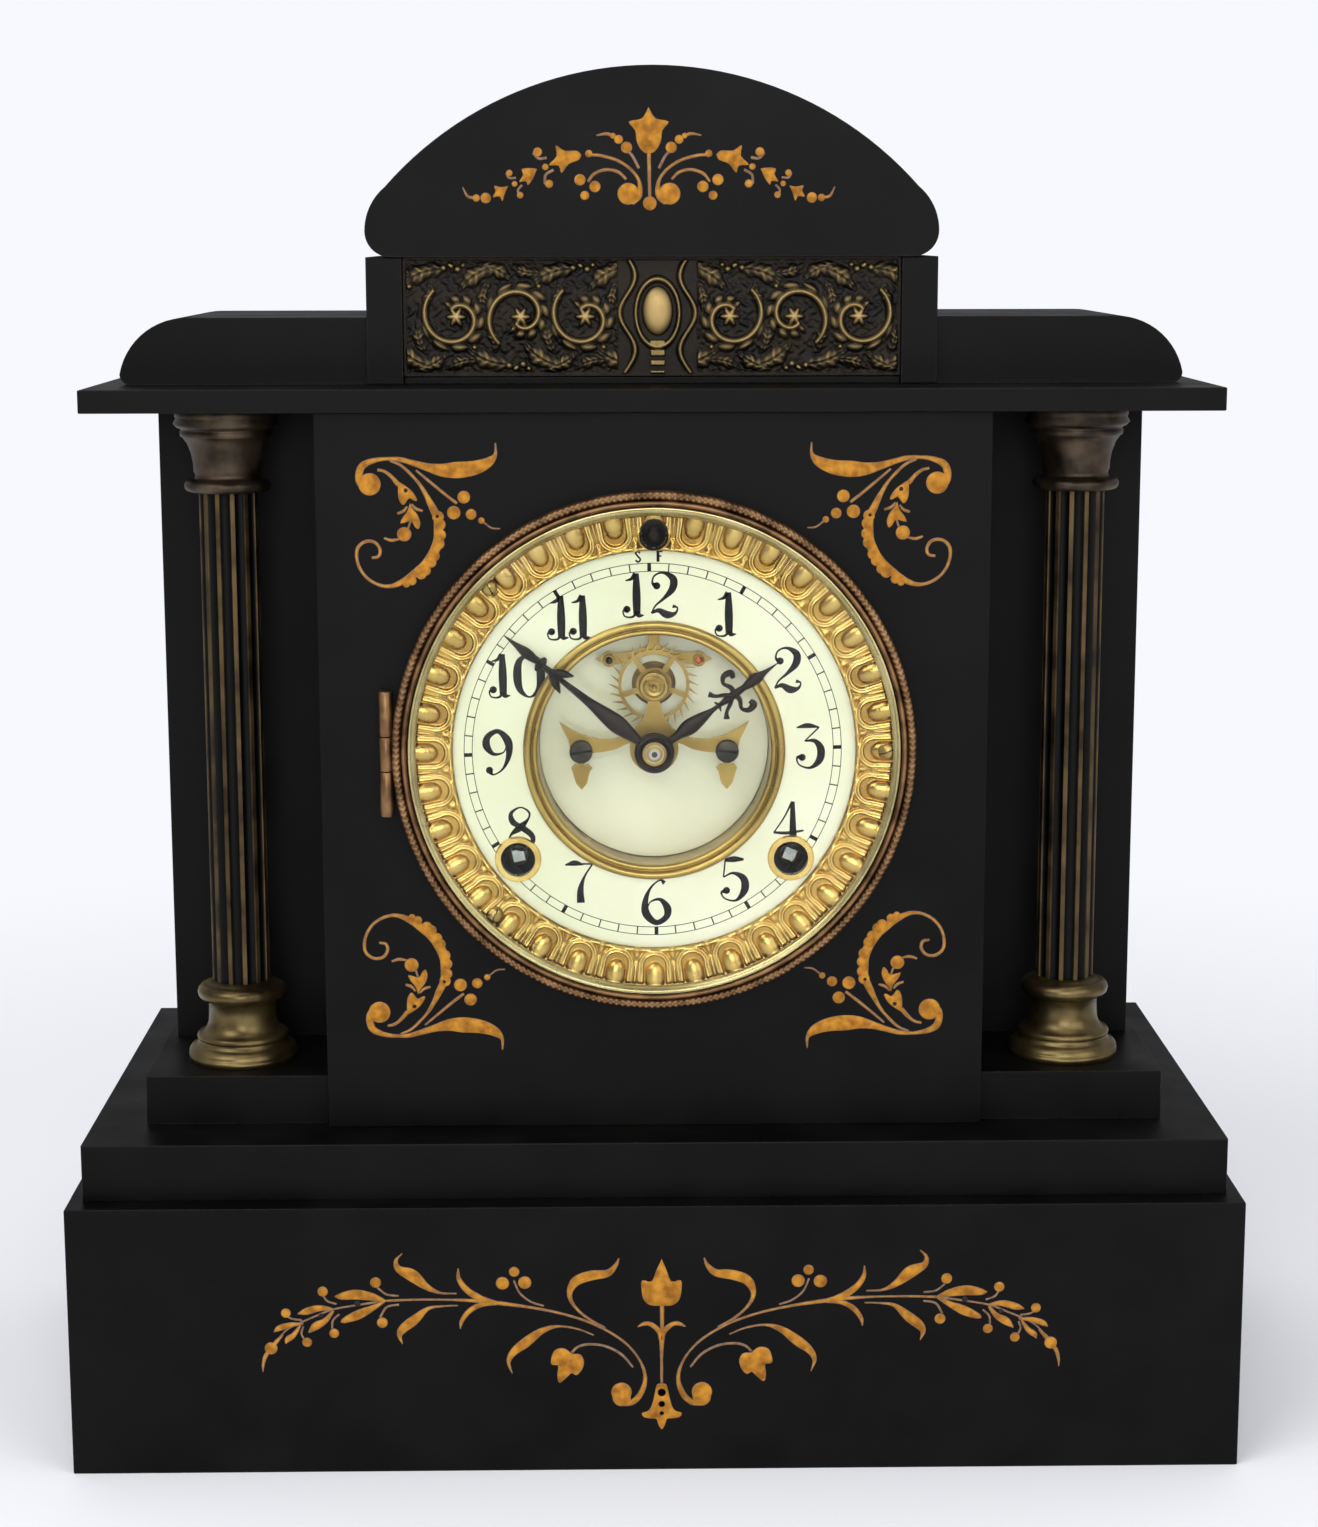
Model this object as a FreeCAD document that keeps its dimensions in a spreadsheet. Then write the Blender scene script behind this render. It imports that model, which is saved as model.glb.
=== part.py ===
import FreeCAD, Part
import math
import os
import re
import Sketcher

# Black slate mantel clock with columns, an arched pediment and an open escapement.
# +X is to the right, +Y to the back, +Z up. The origin is under the middle of the plinth.

doc = FreeCAD.newDocument("MantelClock")

case_sizes = {
    "plinth_width": 336.0,
    "plinth_depth": 160.0,
    "plinth_height": 79.3,
    "plinth_face_thickness": 12.0,
    "plinth_wall": 10.0,
    "lower_step_width": 328.0,
    "lower_step_setback": 7.6,
    "lower_step_height": 16.4,
    "upper_step_width": 296.4,
    "upper_step_setback": 28.4,
    "upper_step_height": 14.4,
    "panel_width": 189.8,
    "panel_setback": 24.5,
    "panel_thickness": 12.0,
    "panel_opening_radius": 64.5,
    "body_width": 290.4,
    "body_height": 192.3,
    "recess_depth": 47.9,
    "slab_thickness": 8.0,
    "body_back_inset": 4.0,
    "access_opening_radius": 58.0,
    "cornice_width": 319.2,
    "cornice_setback": 21.2,
    "cornice_height": 6.5,
    "attic_setback": 46.2,
    "attic_depth": 80.0,
    "upright_width": 10.3,
    "frieze_width": 142.0,
    "frieze_height": 35.9,
    "frieze_recess": 3.6,
    "relief_setback": 2.2,
    "relief_ledge": 2.0,
    "wing_reach": 71.0,
    "wing_height": 19.0,
    "wing_setback": 3.0,
    "wing_round": 20.0,
    "wing_foot_round": 3.0,
    "pediment_height": 53.0,
    "pediment_overhang": 1.0,
    "pediment_crown_radius": 101.7,
    "pediment_shoulder_reach": 75.4,
    "pediment_shoulder_drop": 33.5,
    "pediment_shoulder_radius": 16.0,
    "pediment_foot_radius": 7.2,
}

column_sizes = {
    "column_offset": 122.4,
    "column_setback": 50.5,
    "base_height": 23.7,
    "base_rim_radius": 16.0,
    "base_rim_height": 1.2,
    "base_ovolo_radius": 15.2,
    "base_ovolo_height": 4.6,
    "base_lip_radius": 12.8,
    "base_lip_height": 8.2,
    "base_scotia_radius": 10.2,
    "base_scotia_height": 11.4,
    "base_neck_radius": 9.0,
    "base_neck_height": 16.6,
    "base_torus_radius": 12.3,
    "base_torus_low": 19.6,
    "base_torus_edge": 1.3,
    "shaft_radius": 8.4,
    "flute_radius": 1.85,
    "flute_depth": 1.05,
    "flute_count": 12,
    "capital_height": 24.0,
    "capital_astragal_radius": 11.6,
    "capital_astragal_height": 4.3,
    "capital_neck_radius": 8.5,
    "capital_neck_height": 11.2,
    "capital_cavetto_radius": 9.4,
    "capital_cavetto_height": 13.8,
    "capital_ring_radius": 11.9,
    "capital_ring_low": 15.4,
    "capital_ring_high": 18.0,
    "capital_ovolo_radius": 13.9,
    "capital_ovolo_height": 20.6,
    "capital_rim_radius": 14.7,
    "capital_rim_low": 22.4,
}

dial_sizes = {
    "gilt_outer_radius": 68.2,
    "gilt_crest_radius": 66.9,
    "gilt_crest_rise": 1.7,
    "gilt_inner_radius": 57.3,
    "porcelain_setback": 1.0,
    "porcelain_thickness": 2.0,
    "porcelain_outer_radius": 64.0,
    "porcelain_inner_radius": 35.4,
    "porcelain_seat_gap": 0.1,
    "recess_lip_radius": 37.4,
    "recess_lip_rise": 1.5,
    "recess_inner_radius": 33.0,
    "recess_wall": 2.2,
    "recess_back_wall": 1.2,
    "recess_depth_inside": 12.0,
    "centre_thickness": 1.8,
    "centre_pipe_hole": 5.0,
    "escape_hole_radius": 6.3,
    "anchor_slot_width": 8.0,
    "anchor_slot_front": 4.6,
    "arbor_offset": 39.1,
    "arbor_drop": 31.3,
    "grommet_radius": 6.7,
    "grommet_bore": 4.95,
    "grommet_rise": 0.8,
    "regulator_rise": 61.4,
    "regulator_hole_radius": 3.7,
    "running_clearance": 0.05,
    "seat_clearance": 0.3,
    "overrun": 5.0,
}

bezel_sizes = {
    "bezel_radius": 74.3,
    "bezel_back_gap": 0.3,
    "bezel_side_height": 3.6,
    "bezel_groove_radius": 72.0,
    "bezel_groove_height": 5.0,
    "bezel_bead_height": 9.6,
    "bezel_bead_radius": 70.3,
    "bezel_inner_radius": 67.8,
    "bezel_lip": 1.0,
    "glass_radius": 69.2,
    "glass_back": 6.2,
    "glass_thickness": 2.6,
    "glass_bevel_width": 5.0,
    "glass_bevel_drop": 1.4,
    "hinge_axis_x": 76.4,
    "hinge_axis_rise": 2.4,
    "hinge_radius": 1.7,
    "hinge_pin_radius": 0.7,
    "hinge_length": 36.0,
    "hinge_centre_length": 17.0,
    "hinge_knuckle_gap": 0.3,
    "hinge_leaf_thickness": 0.8,
    "hinge_leaf_reach": 6.0,
}

movement_sizes = {
    "plate_width": 118.0,
    "plate_top": 50.0,
    "plate_bottom": 58.0,
    "plate_thickness": 2.0,
    "plate_ear_width": 10.0,
    "plate_setback": 20.0,
    "plate_gap": 33.0,
    "pillar_inset": 4.0,
    "pillar_radius": 2.8,
    "foot_radius": 2.5,
    "bar_sides": 12,
    "bar_corner_share": 1.036,
    "round_sides": 28,
    "arbor_radius": 0.8,
    "post_radius": 1.2,
    "main_arbor_radius": 2.4,
    "square_side": 3.4,
    "winding_tip_setback": 6.0,
    "escape_rise": 18.0,
    "escape_tip_radius": 12.9,
    "escape_rim_radius": 10.2,
    "escape_rim_inner": 9.3,
    "escape_hub_radius": 5.0,
    "escape_spoke_width": 1.5,
    "escape_thickness": 1.0,
    "escape_setback": 7.6,
    "escape_teeth": 30,
    "escape_spokes": 5,
    "anchor_rise": 44.0,
    "anchor_setback": 9.1,
    "anchor_thickness": 1.2,
    "anchor_arm_width": 3.0,
    "anchor_stem_width": 3.3,
    "pallet_offset": 12.8,
    "pallet_rise": 7.2,
    "pallet_radius": 0.9,
    "pallet_boss_radius": 2.2,
    "pallet_point": 4.0,
    "bridge_setback": 4.6,
    "bridge_thickness": 1.3,
    "bridge_boss_radius": 3.9,
    "bridge_boss_rise": 0.8,
    "bridge_screw_offset": 20.9,
    "bridge_screw_drop": 0.6,
    "bridge_screw_radius": 3.3,
    "bridge_screw_head": 1.6,
    "bridge_hub_radius": 7.0,
    "bridge_pipe_hole": 4.2,
    "verge_bridge_width": 24.0,
    "verge_bridge_height": 9.0,
    "verge_bridge_drop": 5.5,
    "verge_bridge_depth": 5.0,
    "verge_bridge_sheet": 1.2,
    "spring_radius": 20.0,
    "spring_width": 17.0,
    "spring_start": 7.0,
}

hand_sizes = {
    "hour_hand_length": 44.0,
    "hour_hand_angle": 53.8,
    "hour_hand_rise": 1.2,
    "minute_hand_length": 54.3,
    "minute_hand_angle": 309.0,
    "minute_hand_rise": 2.9,
    "hand_thickness": 0.8,
    "hour_eye_radius": 5.4,
    "minute_eye_radius": 3.6,
    "pipe_radius": 3.2,
    "centre_arbor_radius": 1.6,
    "collet_radius": 2.9,
    "collet_height": 0.8,
    "hand_stack_top": 5.2,
}

train_sizes = {
    "tooth_tip_share": 0.35,
    "tooth_root_share": 1.0,
    "wheel_thickness": 1.5,
    "pinion_length": 3.5,
    "motion_wheel_thickness": 0.8,
    "second_offset": 22.0,
    "second_drop": 12.0,
    "third_offset": 14.43,
    "third_rise": 9.99,
    "minute_wheel_drop": 12.0,
    "warning_offset": 36.0,
    "warning_rise": 4.0,
    "fly_offset": 36.0,
    "fly_rise": 16.0,
    "great_plane": 26.5,
    "second_plane": 4.4,
    "pin_plane": 1.3,
    "centre_plane": 9.0,
    "third_plane": 13.0,
    "warning_plane": 17.0,
    "great_teeth": 40,
    "second_pinion_teeth": 10,
    "second_teeth": 30,
    "centre_pinion_teeth": 10,
    "centre_teeth": 72,
    "third_pinion_teeth": 6,
    "third_teeth": 90,
    "escape_pinion_teeth": 6,
    "cannon_teeth": 8,
    "minute_teeth": 24,
    "minute_pinion_teeth": 8,
    "hour_teeth": 32,
    "strike_great_teeth": 48,
    "strike_pinion_teeth": 6,
    "pin_teeth": 48,
    "warning_pinion_teeth": 6,
    "warning_teeth": 36,
    "fly_pinion_teeth": 6,
    "strike_pin_count": 9,
    "strike_pin_circle": 11.0,
    "strike_pin_radius": 0.8,
    "strike_pin_length": 2.4,
    "fly_reach": 8.0,
    "fly_width": 12.0,
    "fly_sheet": 0.6,
    "count_wheel_radius": 19.0,
    "count_wheel_notch": 3.0,
    "count_notch_share": 1.6,
    "count_wheel_thickness": 1.2,
    "count_wheel_plane": 1.6,
}

pendulum_sizes = {
    "pendulum_length": 110.0,
    "pendulum_setback": 12.0,
    "pendulum_rod_radius": 1.1,
    "bob_radius": 15.5,
    "bob_thickness": 9.0,
    "rating_nut_radius": 3.0,
    "rating_nut_height": 2.6,
    "suspension_width": 5.0,
    "suspension_sheet": 0.4,
    "suspension_rise": 7.0,
    "suspension_drop": 14.0,
    "post_width": 12.0,
    "post_height": 7.0,
    "fork_width": 9.0,
    "fork_height": 3.0,
    "fork_gap": 0.3,
    "crutch_setback": 6.0,
    "crutch_width": 2.4,
    "crutch_sheet": 1.0,
    "crutch_drop": 38.0,
    "crutch_fork_gap": 0.4,
    "gong_setback": 38.0,
    "gong_rise": 84.0,
    "gong_inner_radius": 16.0,
    "gong_pitch": 6.0,
    "gong_half_turns": 7,
    "gong_wire_width": 2.2,
    "gong_wire_depth": 3.2,
    "gong_stand_width": 16.0,
    "gong_stand_depth": 14.0,
    "gong_base_width": 46.0,
    "gong_base_depth": 30.0,
    "gong_base_height": 5.0,
    "hammer_offset": 8.0,
    "hammer_drop": 40.0,
    "hammer_head_radius": 4.0,
    "hammer_head_length": 11.0,
    "hammer_rod_radius": 0.9,
    "hammer_reach": 24.0,
    "hammer_fall": 6.2,
    "hammer_tail_reach": 6.0,
    "hammer_tail_rise": 15.0,
    "release_offset": 6.0,
    "release_rise": 30.0,
    "door_radius": 62.0,
    "door_thickness": 1.6,
    "door_gap": 0.3,
    "door_hinge_x": 64.6,
    "door_hinge_length": 30.0,
    "door_hinge_centre_length": 14.0,
    "door_hinge_radius": 1.6,
    "door_knob_radius": 5.0,
    "door_knob_length": 2.0,
    "door_slot_count": 8,
    "door_slot_inner": 18.0,
    "door_slot_outer": 44.0,
    "door_slot_width": 5.0,
}

all_sizes = {}
for group in (case_sizes, column_sizes, dial_sizes, bezel_sizes, movement_sizes, hand_sizes,
              train_sizes, pendulum_sizes):
    all_sizes.update(group)

sheet = doc.addObject("Spreadsheet::Sheet", "Sizes")
for row, (alias, value) in enumerate(all_sizes.items(), start=1):
    sheet.set(f"A{row}", alias)
    sheet.set(f"B{row}", str(value))
    sheet.setAlias(f"B{row}", alias)

# Places that several pieces share, worked out in the sheet from the sizes above.
derived = {
    "front_y": "-plinth_depth / 2",
    "back_y": "plinth_depth / 2",
    "lower_step_top": "plinth_height + lower_step_height",
    "floor_z": "lower_step_top + upper_step_height",
    "roof_z": "floor_z + body_height",
    "cornice_top": "roof_z + cornice_height",
    "panel_y": "front_y + panel_setback",
    "panel_back_y": "panel_y + panel_thickness",
    "recess_y": "panel_y + recess_depth",
    "body_back_y": "back_y - body_back_inset",
    "attic_y": "front_y + attic_setback",
    "attic_back_y": "attic_y + attic_depth",
    "frieze_top": "cornice_top + frieze_height",
    "column_y": "front_y + column_setback",
    "plate_front_y": "panel_y + plate_setback",
    "train_y": "plate_front_y + plate_thickness",
    "plate_back_y": "train_y + plate_gap",
    "rear_y": "plate_back_y + plate_thickness",
    "centre_y": "panel_y + recess_depth_inside",
    "dial_height": "(floor_z + roof_z) / 2",
    "escape_z": "dial_height + escape_rise",
    "anchor_z": "dial_height + anchor_rise",
    "escape_y": "panel_y + escape_setback",
    "bridge_y": "panel_y + bridge_setback",
    "anchor_y": "panel_y + anchor_setback",
    "arbor_z": "dial_height - arbor_drop",
    "hinge_y": "panel_y - hinge_axis_rise",
    "motion_y": "plate_front_y - 2.4 * motion_wheel_thickness",
    "hour_wheel_y": "motion_y - 2.4 * motion_wheel_thickness",
    "pendulum_y": "rear_y + pendulum_setback",
    "gong_y": "rear_y + gong_setback",
    "gong_z": "floor_z + gong_rise",
    "door_y": "body_back_y + door_gap",
}


def bound(text):
    # Every size named in a formula is read from the sheet.
    known = set(all_sizes) | set(derived)
    return re.sub(r"[a-z][a-z_]*", lambda word: "Sizes." + word.group() if word.group() in known
                  else word.group(), str(text))


first_row = len(all_sizes) + 2
for row, (alias, formula) in enumerate(derived.items(), start=first_row):
    sheet.set(f"A{row}", alias)
    sheet.set(f"B{row}", "=" + formula)
    sheet.setAlias(f"B{row}", alias)
doc.recompute()


def size(text):
    # The number that a formula of named sizes comes to.
    return float(sheet.evalExpression(bound(text)))


def point(x, y, z):
    return FreeCAD.Vector(size(x), size(y), size(z))


def place(thing, x="0", y="0", z="0"):
    for axis, text in (("x", x), ("y", y), ("z", z)):
        thing.setExpression(f"Placement.Base.{axis}", bound(text))
    return thing


def box(name, left, right, front, back, low, high):
    thing = doc.addObject("Part::Box", name)
    thing.setExpression("Length", bound(f"({right}) - ({left})"))
    thing.setExpression("Width", bound(f"({back}) - ({front})"))
    thing.setExpression("Height", bound(f"({high}) - ({low})"))
    return place(thing, left, front, low)


turns = {
    "X": FreeCAD.Rotation(FreeCAD.Vector(0, 1, 0), 90),
    "Y": FreeCAD.Rotation(FreeCAD.Vector(1, 0, 0), -90),
    "Z": FreeCAD.Rotation(),
}


def rod(name, radius, length, x, y, z, axis="Y"):
    # A cylinder that starts at a point and runs along an axis.
    thing = doc.addObject("Part::Cylinder", name)
    thing.Placement.Rotation = turns[axis]
    thing.setExpression("Radius", bound(radius))
    thing.setExpression("Height", bound(length))
    return place(thing, x, y, z)


def facetedTurn(name, outline, sides, x, y, z, axis="Z"):
    # A turned piece with flat sides: each ring of the outline is a polygon.
    count = int(size(sides))
    rings = []
    for radius, along in outline:
        ring = []
        for number in range(count):
            across, over = polar(size(radius), 360 * number / count)
            level = size(along)
            ring.append(FreeCAD.Vector(across, over, level) if axis == "Z"
                        else FreeCAD.Vector(across, level, over))
        rings.append(ring)
    faces = []
    for low, high in zip(rings, rings[1:] + rings[:1]):
        for number in range(count):
            after = (number + 1) % count
            corners = []
            for corner in (low[number], low[after], high[after], high[number]):
                if all(corner.distanceToPoint(other) > size("overrun") / 1000
                       for other in corners):
                    corners.append(corner)
            if len(corners) > 2:
                faces.append(Part.Face(Part.makePolygon(corners + corners[:1])))
    solid = Part.Solid(Part.Shell(faces))
    if solid.Volume < 0:
        solid.reverse()
    return solidOf(name, solid, x, y, z)


def bar(name, radius, length, x, y, z, axis="Y"):
    # A slim bar or its hole, which nobody sees, with flat sides.
    thing = doc.addObject("Part::Prism", name)
    thing.Placement.Rotation = turns[axis]
    thing.setExpression("Polygon", bound("bar_sides"))
    thing.setExpression("Circumradius", bound(radius))
    thing.setExpression("Height", bound(length))
    return place(thing, x, y, z)


def cut(name, base, tool):
    thing = doc.addObject("Part::Cut", name)
    thing.Base = base
    thing.Tool = tool
    return thing


def fuse(name, *pieces):
    thing = doc.addObject("Part::MultiFuse", name)
    thing.Shapes = list(pieces)
    thing.Refine = True
    return thing


def pair(name, piece):
    # The piece and its mirror image on the other side of the clock.
    mirror = doc.addObject("Part::Mirroring", name + "_mirror")
    mirror.Source = piece
    mirror.Normal = (1, 0, 0)
    both = doc.addObject("Part::Compound", name)
    both.Links = [piece, mirror]
    return both


def originPlane(body, role):
    return next(feature for feature in body.Origin.OriginFeatures if feature.Role == role)


def arcCentre(start, end, radius, side):
    # The centre of an arc between two points, on the left (1) or right (-1) of the way along it.
    middle = (start + end) / 2
    way = end - start
    height = math.sqrt(max(radius ** 2 - way.Length ** 2 / 4, 0))
    across = FreeCAD.Vector(-way.y, way.x, 0)
    across.normalize()
    return middle + across * height * side


def outlineSketch(body, name, role, outline):
    # A closed sketch. Each point is (u, v), or (u, v, radius, side) where an arc leaves it.
    sketch = body.newObject("Sketcher::SketchObject", name)
    sketch.AttachmentSupport = (originPlane(body, role), [""])
    sketch.MapMode = "FlatFace"
    corners = [FreeCAD.Vector(size(entry[0]), size(entry[1]), 0) for entry in outline]
    count = len(outline)
    for index, entry in enumerate(outline):
        start = corners[index]
        end = corners[(index + 1) % count]
        if len(entry) == 2:
            sketch.addGeometry(Part.LineSegment(start, end), False)
            continue
        centre = arcCentre(start, end, size(entry[2]), entry[3])
        first = math.atan2(start.y - centre.y, start.x - centre.x)
        last = math.atan2(end.y - centre.y, end.x - centre.x)
        if entry[3] < 0:
            first, last = last, first
        circle = Part.Circle(centre, FreeCAD.Vector(0, 0, 1), size(entry[2]))
        sketch.addGeometry(Part.ArcOfCircle(circle, first, last), False)
    begins = [2 if len(entry) == 4 and entry[3] < 0 else 1 for entry in outline]
    for index in range(count):
        following = (index + 1) % count
        sketch.addConstraint(Sketcher.Constraint(
            "Coincident", index, 3 - begins[index], following, begins[following]))
    for index, entry in enumerate(outline):
        for kind, text, value in (("DistanceX", entry[0], corners[index].x),
                                  ("DistanceY", entry[1], corners[index].y)):
            number = sketch.addConstraint(
                Sketcher.Constraint(kind, -1, 1, index, begins[index], value))
            sketch.setExpression(f"Constraints[{number}]", bound(text))
        if len(entry) == 4:
            number = sketch.addConstraint(Sketcher.Constraint("Radius", index, size(entry[2])))
            sketch.setExpression(f"Constraints[{number}]", bound(entry[2]))
    return sketch


def turned(name, outline, role="XZ_Plane", x="0", y="0", z="0"):
    # A piece turned on a lathe: the outline is (radius, place along the axis).
    body = doc.addObject("PartDesign::Body", name)
    sketch = outlineSketch(body, name + "_profile", role, outline)
    spin = body.newObject("PartDesign::Revolution", name + "_turning")
    spin.Profile = sketch
    spin.ReferenceAxis = (sketch, ["V_Axis"])
    spin.Angle = 360
    return place(body, x, y, z)


def slab(name, outline, depth, x="0", y="0", z="0"):
    # A piece cut from flat stock: the outline is (x, z), and the stock runs towards the back.
    body = doc.addObject("PartDesign::Body", name)
    sketch = outlineSketch(body, name + "_outline", "XZ_Plane", outline)
    pad = body.newObject("PartDesign::Pad", name + "_pad")
    pad.Profile = sketch
    pad.setExpression("Length", bound(depth))
    pad.Reversed = True
    return place(body, x, y, z)


def solidOf(name, shape, x="0", y="0", z="0", turn="0"):
    # A piece whose form is worked out here from the sizes in the sheet.
    thing = doc.addObject("Part::Feature", name)
    thing.Shape = shape
    thing.Placement = FreeCAD.Placement(point(x, y, z),
                                        FreeCAD.Rotation(FreeCAD.Vector(0, 1, 0), size(turn)))
    return thing


def plate(corners, depth, start="0"):
    # A flat piece from corners in millimetres, from a depth towards the back.
    ring = [FreeCAD.Vector(across, size(start), up) for across, up in corners]
    face = Part.Face(Part.makePolygon(ring + ring[:1]))
    return face.extrude(FreeCAD.Vector(0, size(depth), 0))


def facetedAt(radius, depth, start="0", across=0.0, up=0.0, sides="bar_sides"):
    # A small disc or bar with flat sides, whose corners lie on the radius.
    count = int(size(sides))
    corners = [polar(radius, 360 * number / count) for number in range(count)]
    return plate([(across + right, up + over) for right, over in corners], depth, start)


def boreAt(radius, depth, start="0", across=0.0, up=0.0):
    # A faceted bore, whose sides touch the radius from outside.
    return facetedAt(radius * size("bar_corner_share"), depth, start, across, up)


def polar(radius, degrees):
    # A point at an angle that is counted clockwise from the top, as on a dial.
    angle = math.radians(degrees)
    return radius * math.sin(angle), radius * math.cos(angle)


nodes = {}


def keep(name, thing):
    thing.Label = name
    nodes[name] = thing
    return thing


def makePlinth():
    keep("plinth_front", box("PlinthFront", "-plinth_width / 2", "plinth_width / 2", "front_y",
                             "front_y + plinth_face_thickness", "0", "plinth_height"))
    block = box("CarcassBlock", "-plinth_width / 2", "plinth_width / 2",
                "front_y + plinth_face_thickness", "back_y", "0", "plinth_height")
    hollow = box("CarcassHollow", "-plinth_width / 2 + plinth_wall",
                 "plinth_width / 2 - plinth_wall",
                 "front_y + plinth_face_thickness - overrun", "back_y - plinth_wall",
                 "plinth_wall", "plinth_height + overrun")
    keep("plinth_carcass", cut("PlinthCarcass", block, hollow))


def makeSteps():
    keep("lower_step", box("LowerStep", "-lower_step_width / 2", "lower_step_width / 2",
                           "front_y + lower_step_setback", "back_y", "plinth_height",
                           "lower_step_top"))
    block = box("UpperStepBlock", "-upper_step_width / 2", "upper_step_width / 2",
                "front_y + upper_step_setback", "back_y", "lower_step_top", "floor_z")
    notch = box("UpperStepNotch", "-panel_width / 2", "panel_width / 2",
                "front_y + upper_step_setback - overrun", "panel_back_y",
                "lower_step_top - overrun", "floor_z + overrun")
    keep("upper_step", cut("UpperStep", block, notch))


def makeBody():
    face = box("PanelBlock", "-panel_width / 2", "panel_width / 2", "panel_y", "panel_back_y",
               "lower_step_top", "roof_z")
    opening = rod("PanelOpening", "panel_opening_radius", "panel_thickness + 2 * overrun", "0",
                  "panel_y - overrun", "dial_height")
    keep("front_panel", cut("FrontPanel", face, opening))
    cheek = box("Cheek", "panel_width / 2 - slab_thickness", "panel_width / 2", "panel_back_y",
                "recess_y + slab_thickness", "floor_z", "roof_z")
    keep("front_cheeks", pair("FrontCheeks", cheek))
    recess = box("Recess", "panel_width / 2", "body_width / 2", "recess_y",
                 "recess_y + slab_thickness", "floor_z", "roof_z")
    keep("recess_panels", pair("RecessPanels", recess))
    side = box("Side", "body_width / 2 - slab_thickness", "body_width / 2",
               "recess_y + slab_thickness", "body_back_y - slab_thickness", "floor_z", "roof_z")
    keep("case_sides", pair("CaseSides", side))
    back = box("BackBlock", "-body_width / 2", "body_width / 2", "body_back_y - slab_thickness",
               "body_back_y", "floor_z", "roof_z")
    access = rod("AccessOpening", "access_opening_radius", "slab_thickness + 2 * overrun", "0",
                 "body_back_y - slab_thickness - overrun", "dial_height")
    keep("back_panel", cut("BackPanel", back, access))
    keep("cornice", box("Cornice", "-cornice_width / 2", "cornice_width / 2",
                        "front_y + cornice_setback", "back_y", "roof_z", "cornice_top"))


def makeAttic():
    upright = box("Upright", "frieze_width / 2", "frieze_width / 2 + upright_width", "attic_y",
                  "attic_back_y", "cornice_top", "frieze_top")
    keep("frieze_uprights", pair("FriezeUprights", upright))
    block = box("FriezeCore", "-frieze_width / 2", "frieze_width / 2",
                "attic_y + relief_setback + frieze_recess", "attic_back_y", "cornice_top",
                "frieze_top")
    ledge = box("FriezeLedge", "-frieze_width / 2", "frieze_width / 2",
                "attic_y + relief_setback", "attic_y + relief_setback + frieze_recess",
                "cornice_top", "cornice_top + relief_ledge")
    keep("frieze_block", fuse("FriezeBlock", block, ledge))
    keep("relief_panel", box("ReliefPanel", "-frieze_width / 2", "frieze_width / 2",
                             "attic_y + relief_setback",
                             "attic_y + relief_setback + frieze_recess",
                             "cornice_top + relief_ledge", "frieze_top"))
    wing = slab("Wing", [
        ("0", "0"),
        ("wing_reach - wing_foot_round", "0", "wing_foot_round", 1),
        ("wing_reach", "wing_foot_round", "wing_round", 1),
        ("wing_reach - wing_round", "wing_height"),
        ("0", "wing_height"),
    ], "attic_depth - wing_setback", "frieze_width / 2 + upright_width",
                "attic_y + wing_setback", "cornice_top")
    keep("attic_wings", pair("AtticWings", wing))
    crown = "pediment_height"
    shoulder = "pediment_height - pediment_shoulder_drop"
    edge = "frieze_width / 2 + upright_width"
    keep("pediment", slab("Pediment", [
        (f"pediment_foot_radius - ({edge})", "0"),
        (f"{edge} - pediment_foot_radius", "0", "pediment_foot_radius", 1),
        (edge, "pediment_foot_radius", "pediment_shoulder_radius", 1),
        ("pediment_shoulder_reach", shoulder, "pediment_crown_radius", 1),
        ("0", crown, "pediment_crown_radius", 1),
        ("-pediment_shoulder_reach", shoulder, "pediment_shoulder_radius", 1),
        (f"-({edge})", "pediment_foot_radius", "pediment_foot_radius", 1),
    ], "attic_depth + pediment_overhang", "0", "attic_y - pediment_overhang", "frieze_top"))


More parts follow.
